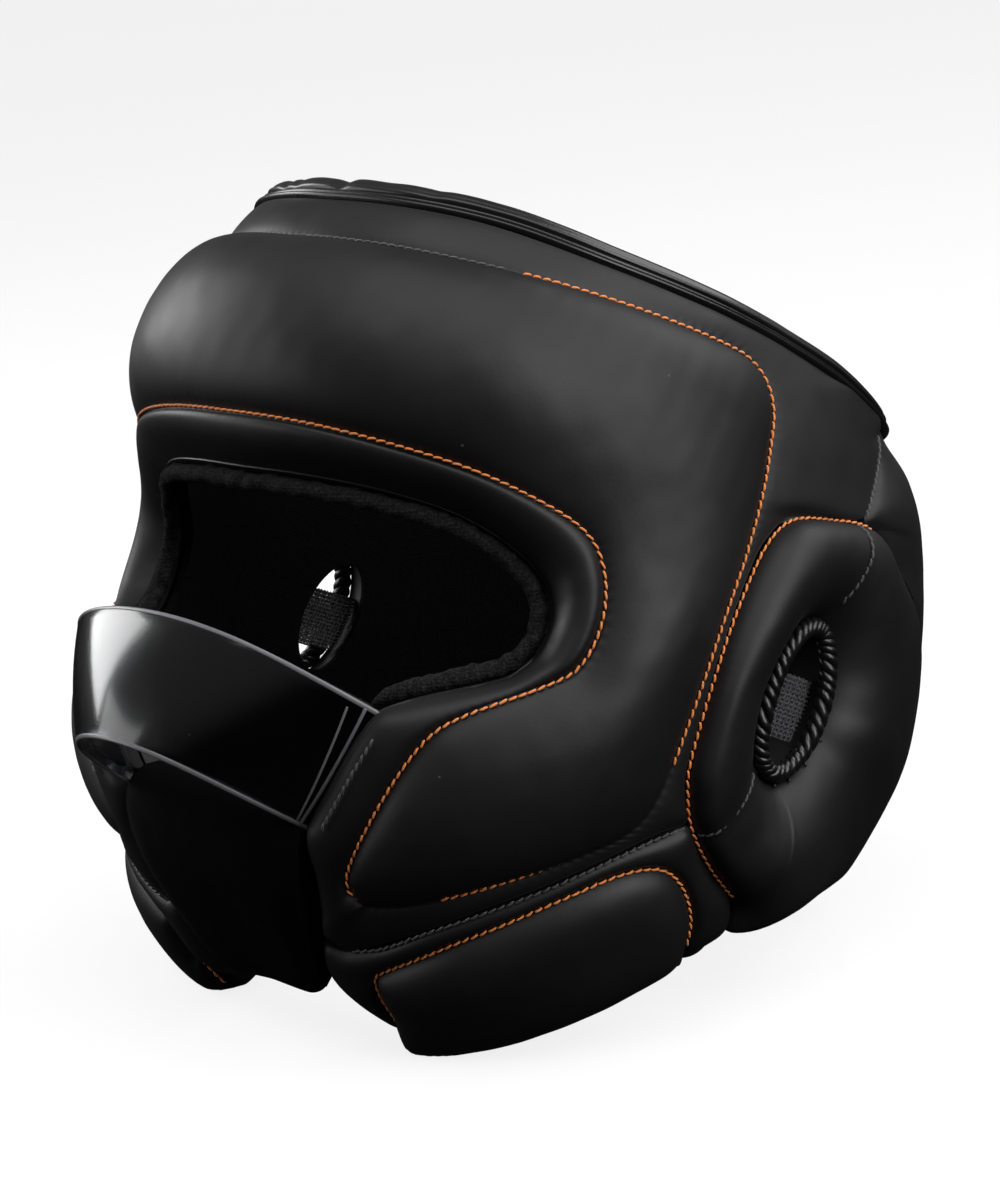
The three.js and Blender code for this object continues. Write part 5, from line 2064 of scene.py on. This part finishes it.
@dataclass
class Inside:
    """Lining, its fuzzy edge round the eyes, and the chin piece.

    Attributes:
        form: the head form.
        chin_turn: half the chin piece's width, in degrees.
        chin_top: latitude of its top.
        chin_low: latitude of its lowest point.
        chin_lift: how far its lower corners are higher.
        chin_wall: depth of its back under the shell line.
        roll_radius: radius of the fuzzy roll.
        roll_depth: its depth under the shell line.
        roll_inset: space between it and the free edge of the leather.
        roll_end: where it ends along the table of the eye side.
        roll_taper: length over which it gets thinner at its ends.
        face_end: where the lining's face opening ends along that table.
        fibres: number of fibres on the roll.
    """

    form: HeadForm
    chin_turn: float = 22.8
    chin_top: float = -28.8
    chin_low: float = -62.4
    chin_lift: float = 2.6
    chin_wall: float = 14.0
    roll_radius: float = 2.4
    roll_depth: float = 14.9
    roll_inset: float = 0.9
    roll_end: float = 0.7
    roll_taper: float = 6.0
    face_end: float = 0.869
    fibres: int = 14000

    def chin(self) -> None:
        """Makes the padded chin piece between the jaws."""
        turns = np.linspace(-self.chin_turn, self.chin_turn, 110)
        low = self.chin_low + self.chin_lift * np.abs(turns / self.chin_turn) ** 3
        top = np.full(len(turns), self.chin_top)
        ribs = Ribs(np.stack([turns, top], -1), np.stack([turns, low], -1), np.linspace(0, 1, len(turns)))
        side = (self.chin_turn - np.abs(turns))[:, None]

        def height(to_top: Array, to_low: Array, _: Array) -> Array:
            """Gentle bow from side to side that leans out further down."""
            return (-2.6 + 2.6 * flank(side, 6.0, ROUND) - 7 * fall(to_top, 14.0)
                    + 3 * flank(to_top, 40.0, ROUND) - 1.5 * fall(to_low, 9.0))

        panel = PaddedPanel(self.form, ribs, height, wall=self.chin_wall, gap=0.0, gathers=(False, False))
        hand_over(panel.build("chin_piece_cover"), CHIN_CLOTH, ["chin_piece"])

    def shell(self, name: str, offset: float) -> Piece:
        """Whole closed globe.

        Args:
            name: the object's name.
            offset: its offset from the shell line.

        Returns:
            The globe.
        """
        grid = np.stack(np.meshgrid(signed_turns(120), np.linspace(-80, 60, 64), indexing="ij"), -1)
        rows = self.form.surface(grid, offset).transpose(1, 0, 2)
        return loft(name, self.form.place(rows, rests=False), False)

    def ray_tool(self, loop: Array) -> Piece:
        """Cutter along the rays through a loop of seam points."""
        rays = self.form.rays(loop)
        return loft("cutter", self.form.place(np.stack([rays * 30.0, rays * 240.0]), rests=False), False)

    def cone_tool(self, lats: Array, way: float) -> Piece:
        """Cutter for everything between a loop round the head and one pole.

        Args:
            lats: latitudes of the loop, at even turns.
            way: 1 for the pole above, -1 for the one below.

        Returns:
            The cutter.
        """
        rays = self.form.rays(np.stack([signed_turns(len(lats)), lats], -1))
        pole = np.array([0.0, 0.0, way * 260.0])
        rows = np.stack([rays * 12.0, rays * 260.0, rays * 2.0 + pole])
        return loft("cutter", self.form.place(rows, rests=False), False)

    def lining(self, ears: Sequence[EarUnit]) -> None:
        """Makes the thin cloth layer behind the foam, open at the crown, neck, face and ears.

        Args:
            ears: the ear units whose holes it leaves open.
        """
        piece = self.shell("lining_cloth", -WALL - LINING_SPACE)
        cut(piece, self.shell("lining_core", -WALL - LINING_SPACE - LINING_THICK))
        turns = signed_turns(160)
        cut(piece, self.cone_tool(rim_lat(turns) + 1.0, 1.0))
        cut(piece, self.cone_tool(smooth(LOWER_LAT, np.abs(turns)) + 1.5, -1.0))
        edge = spline(BROW_RIBS[:, :2], np.linspace(0, self.face_end, 140))
        chin = np.array([(10.0, self.chin_top), (-10.0, self.chin_top)])
        cut(piece, self.ray_tool(np.concatenate([edge, chin, mirrored(edge[:0:-1])])))
        for ear in ears:
            cut(piece, self.ray_tool(ear.side.seams(ear.hole(round_angles(64), -2.0))))
        crisp_edges(piece)
        hand_over(piece, CLOTH, ["lining"])

    def roll_path(self, count: int) -> tuple[Array, Array, Array]:
        """Middle line of the fuzzy roll.

        Args:
            count: points on either side.

        Returns:
            Its points, the outward way at each point, and its radius there.
        """
        t = np.linspace(0, self.roll_end, count)
        edge, stitch = spline(BROW_RIBS[:, :2], t), spline(BROW_RIBS[:, 2:4], t)
        width = np.linalg.norm(self.form.surface(edge) - self.form.surface(stitch), axis=1)[:, None]
        seams = edge - (stitch - edge) * (self.roll_inset + self.roll_radius) / width
        seams = np.concatenate([mirrored(seams[:0:-1]), seams])
        path = self.form.surface(seams, -self.roll_depth)
        run = arc(path)
        thin = np.sqrt(np.clip(np.minimum(run, run[-1] - run) / self.roll_taper, 0.08, 1))
        return path, self.form.rays(seams), (self.roll_radius * thin)[:, None]

    def roll(self) -> None:
        """Makes the rolled edge of the lining round the eyes."""
        path, out, girth = self.roll_path(320)
        along = unit(np.gradient(path, axis=0))
        across = unit(np.cross(along, out))
        ring = rings(across, np.cross(across, along), round_angles(18))
        lumps = WaveField(5, 4.0)(path[:, None] + self.roll_radius * ring)
        rows = path[:, None] + ring * (girth * (1 + 0.075 * lumps))[..., None]
        hand_over(loft("lining_roll_edge", self.form.place(rows), False), FUZZ, ["lining_roll"])

    def fuzz(self) -> None:
        """Makes the short fibres that stand on the roll."""
        rng = np.random.default_rng(3)
        count = self.fibres
        path, out, girth = self.roll_path(900)
        along = unit(np.gradient(path, axis=0))
        across = np.cross(along, out)
        pick = rng.integers(0, len(path), count)
        turn = rng.uniform(0, FULL_TURN, count)[:, None]
        way = across[pick] * np.cos(turn) + out[pick] * np.sin(turn)
        root = path[pick] + way * (girth[pick] - 0.1)
        lean = unit(way + rng.normal(0, 0.55, (count, 3)))
        tip = root + lean * rng.uniform(0.35, 0.95, (count, 1))
        wide = 0.05 * unit(np.cross(lean, along[pick]))
        points = np.stack([root - wide, root + wide, tip], 1)
        faces = np.arange(count * 3).reshape(-1, 3).tolist()
        hand_over(new_object("lining_roll_fuzz", self.form.place(points), faces), FUZZ)


# Studio

@dataclass(frozen=True)
class SoftLight:
    """Softbox aimed at the headgear.

    Attributes:
        azimuth: where it stands, 0 in front of the face and 90 at the wearer's left.
        elevation: how high it stands, in degrees.
        distance: in metres.
        size: width and height in metres.
        power: in watts.
    """

    azimuth: float
    elevation: float
    distance: float
    size: Pair
    power: float


@dataclass
class Studio:
    """Camera, floor and lights.

    Attributes:
        form: the head form, which the camera is set up against.
        azimuth: the camera's place in the rim's frame.
        elevation: its height there.
        roll: its roll there.
        distance: from the ear axis, in millimetres.
        focal: focal length in pixels of the frame.
        middle: pixel that the ear axis falls on.
        frame: width and height of the frame in pixels.
        lights: the softboxes.
        surround: strength of the surround from below and from above.
        floor_size: width of the floor in metres.
    """

    form: HeadForm
    azimuth: float = 46.0
    elevation: float = -3.2
    roll: float = 14.3
    distance: float = 1000.0
    focal: float = 3520.0
    middle: Pair = (493.0, 669.0)
    frame: Pair = (1000.0, 1200.0)
    lights: tuple[SoftLight, ...] = (
        SoftLight(-75, 21, 1.3, (0.56, 0.56), 7.0),
        SoftLight(30, 74, 1.6, (1.6, 1.4), 16.0),
        SoftLight(98, 31, 1.6, (1.2, 1.2), 19.0),
        SoftLight(158, 42, 1.7, (1.2, 1.0), 11.0),
        SoftLight(-42, 10, 1.4, (0.9, 0.4), 3.2),
    )
    surround: Pair = (0.012, 0.2)
    floor_size: float = 40.0

    @staticmethod
    def way(azimuth: float, elevation: float) -> Vector:
        """Direction towards a place round the headgear."""
        a, e = math.radians(azimuth), math.radians(elevation)
        return Vector((math.sin(a) * math.cos(e), -math.cos(a) * math.cos(e), math.sin(e)))

    def camera(self) -> None:
        """Makes the camera at the view of the reference."""
        a, r = math.radians(self.azimuth), math.radians(self.roll)
        back = np.array(self.way(self.azimuth, self.elevation))
        side = np.array([math.cos(a), math.sin(a), 0.0])
        rise = np.cross(back, side)
        right = side * math.cos(r) + rise * math.sin(r)
        up = rise * math.cos(r) - side * math.sin(r)
        axes = [Vector(self.form.turned(v)) for v in (right, up, back)]
        data = bpy.data.cameras.new("camera")
        camera = bpy.data.objects.new("camera", data)
        bpy.context.scene.collection.objects.link(camera)
        place = Vector(self.form.place(back * self.distance, rests=False))
        camera.matrix_world = Matrix.Translation(place) @ Matrix(axes).transposed().to_4x4()
        long_side = max(self.frame)
        data.lens = data.sensor_width * self.focal / long_side
        data.shift_x = (self.frame[0] / 2 - self.middle[0]) / long_side
        data.shift_y = (self.middle[1] - self.frame[1] / 2) / long_side
        data.clip_start, data.clip_end = 0.05, 60.0
        bpy.context.scene.camera = camera

    def floor(self) -> None:
        """Makes the pale floor that runs out of the frame."""
        bpy.ops.object.select_all(action="DESELECT")
        bpy.ops.mesh.primitive_plane_add(size=self.floor_size, location=(0, 0, 0))
        floor = bpy.context.object
        floor.name = "floor"
        floor.data.materials.append(Paper("pale floor", "").material())
        floor.visible_diffuse = floor.visible_glossy = floor.visible_transmission = False

    def softboxes(self) -> None:
        """Makes the softboxes, aimed at the middle of the headgear."""
        aim = Vector((0, 0, self.form.level * MM))
        for number, lamp in enumerate(self.lights):
            data = bpy.data.lights.new(f"softbox_{number}", "AREA")
            data.shape, data.size, data.size_y = "RECTANGLE", *lamp.size
            data.energy = lamp.power
            box = bpy.data.objects.new(data.name, data)
            bpy.context.scene.collection.objects.link(box)
            way = self.way(lamp.azimuth, lamp.elevation)
            box.location = aim + way * lamp.distance
            box.rotation_euler = way.to_track_quat("Z", "Y").to_euler()

    def backdrop(self) -> None:
        """Makes the surround: dark below, grey above, and white where it is seen past the floor."""
        world = bpy.data.worlds.new("surround")
        bpy.context.scene.world = world
        world.use_nodes = True
        nodes = Nodes(world.node_tree)
        split = nodes.add("ShaderNodeSeparateXYZ")
        nodes.join(nodes.add("ShaderNodeTexCoord").outputs["Generated"], split.inputs[0])
        background = world.node_tree.nodes["Background"]
        background.inputs["Color"].default_value = WHITE
        glow = nodes.ramp(split.outputs["Z"], -0.2, 0.4, *self.surround)
        seen = nodes.add("ShaderNodeLightPath").outputs["Is Camera Ray"]
        nodes.join(nodes.math("MAXIMUM", glow, seen), background.inputs["Strength"])
        bpy.context.scene.view_settings.view_transform = "Standard"

    def build(self) -> None:
        """Makes camera, floor, lights and backdrop."""
        for step in (self.camera, self.floor, self.softboxes, self.backdrop):
            step()


# Assembly

def standing_form() -> HeadForm:
    """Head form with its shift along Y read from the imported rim.

    Returns:
        The form.
    """
    section = np.array(Crown(HeadForm()).packed)
    seam = np.array([180.0, float(rim_lat(np.array(180.0)))])
    rays = HeadForm.rays(seam + np.stack([np.zeros(len(section)), section[:, 1]], -1))
    points = rays * (HeadForm().radius(seam) + section[:, 0])[:, None]
    furthest = float(HeadForm().turned(points)[:, 1].max())
    return HeadForm(forward=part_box("crown_rim")[1].y / MM - furthest)


def sew(form: HeadForm, covers: Sequence[FrontCover | EarUnit | JawUnit | BackUnit]) -> None:
    """Makes the stitches of both colours.

    Args:
        form: the head form.
        covers: what is sewn, in order.
    """
    orange: list[Run] = []
    black: list[Run] = []
    for cover in covers:
        bright, dark = cover.thread_runs()
        orange += bright
        black += dark
    hand_over(StitchRun().build("orange_stitches", form, orange), ORANGE)
    hand_over(StitchRun(pitch=2.5, length=2.5, slant=14.0).build("black_stitches", form, black), BLACK)


def main() -> None:
    """Builds the headgear's pieces in order."""
    logging.basicConfig(level=logging.INFO, format="%(name)s: %(message)s")
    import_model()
    form = standing_form()
    front, back, inside = FrontCover(form), BackUnit(form), Inside(form)
    ears = [EarUnit(form, side) for side in Side]
    jaws = [JawUnit(form, side) for side in Side]
    Studio(form).build()
    front.pad()
    front.panel()
    for ear in ears:
        ear.pad()
    for jaw in jaws:
        jaw.panel()
        jaw.pad()
    for side in Side:
        back.half(side)
    back.strap()
    sew(form, (front, *ears, *jaws, back))
    Crown(form).build()
    for ear in ears:
        ear.edging()
        ear.mesh_band()
    inside.chin()
    inside.lining(ears)
    inside.roll()
    inside.fuzz()
    FaceBar(form).pieces()


if __name__ == "__main__":
    main()
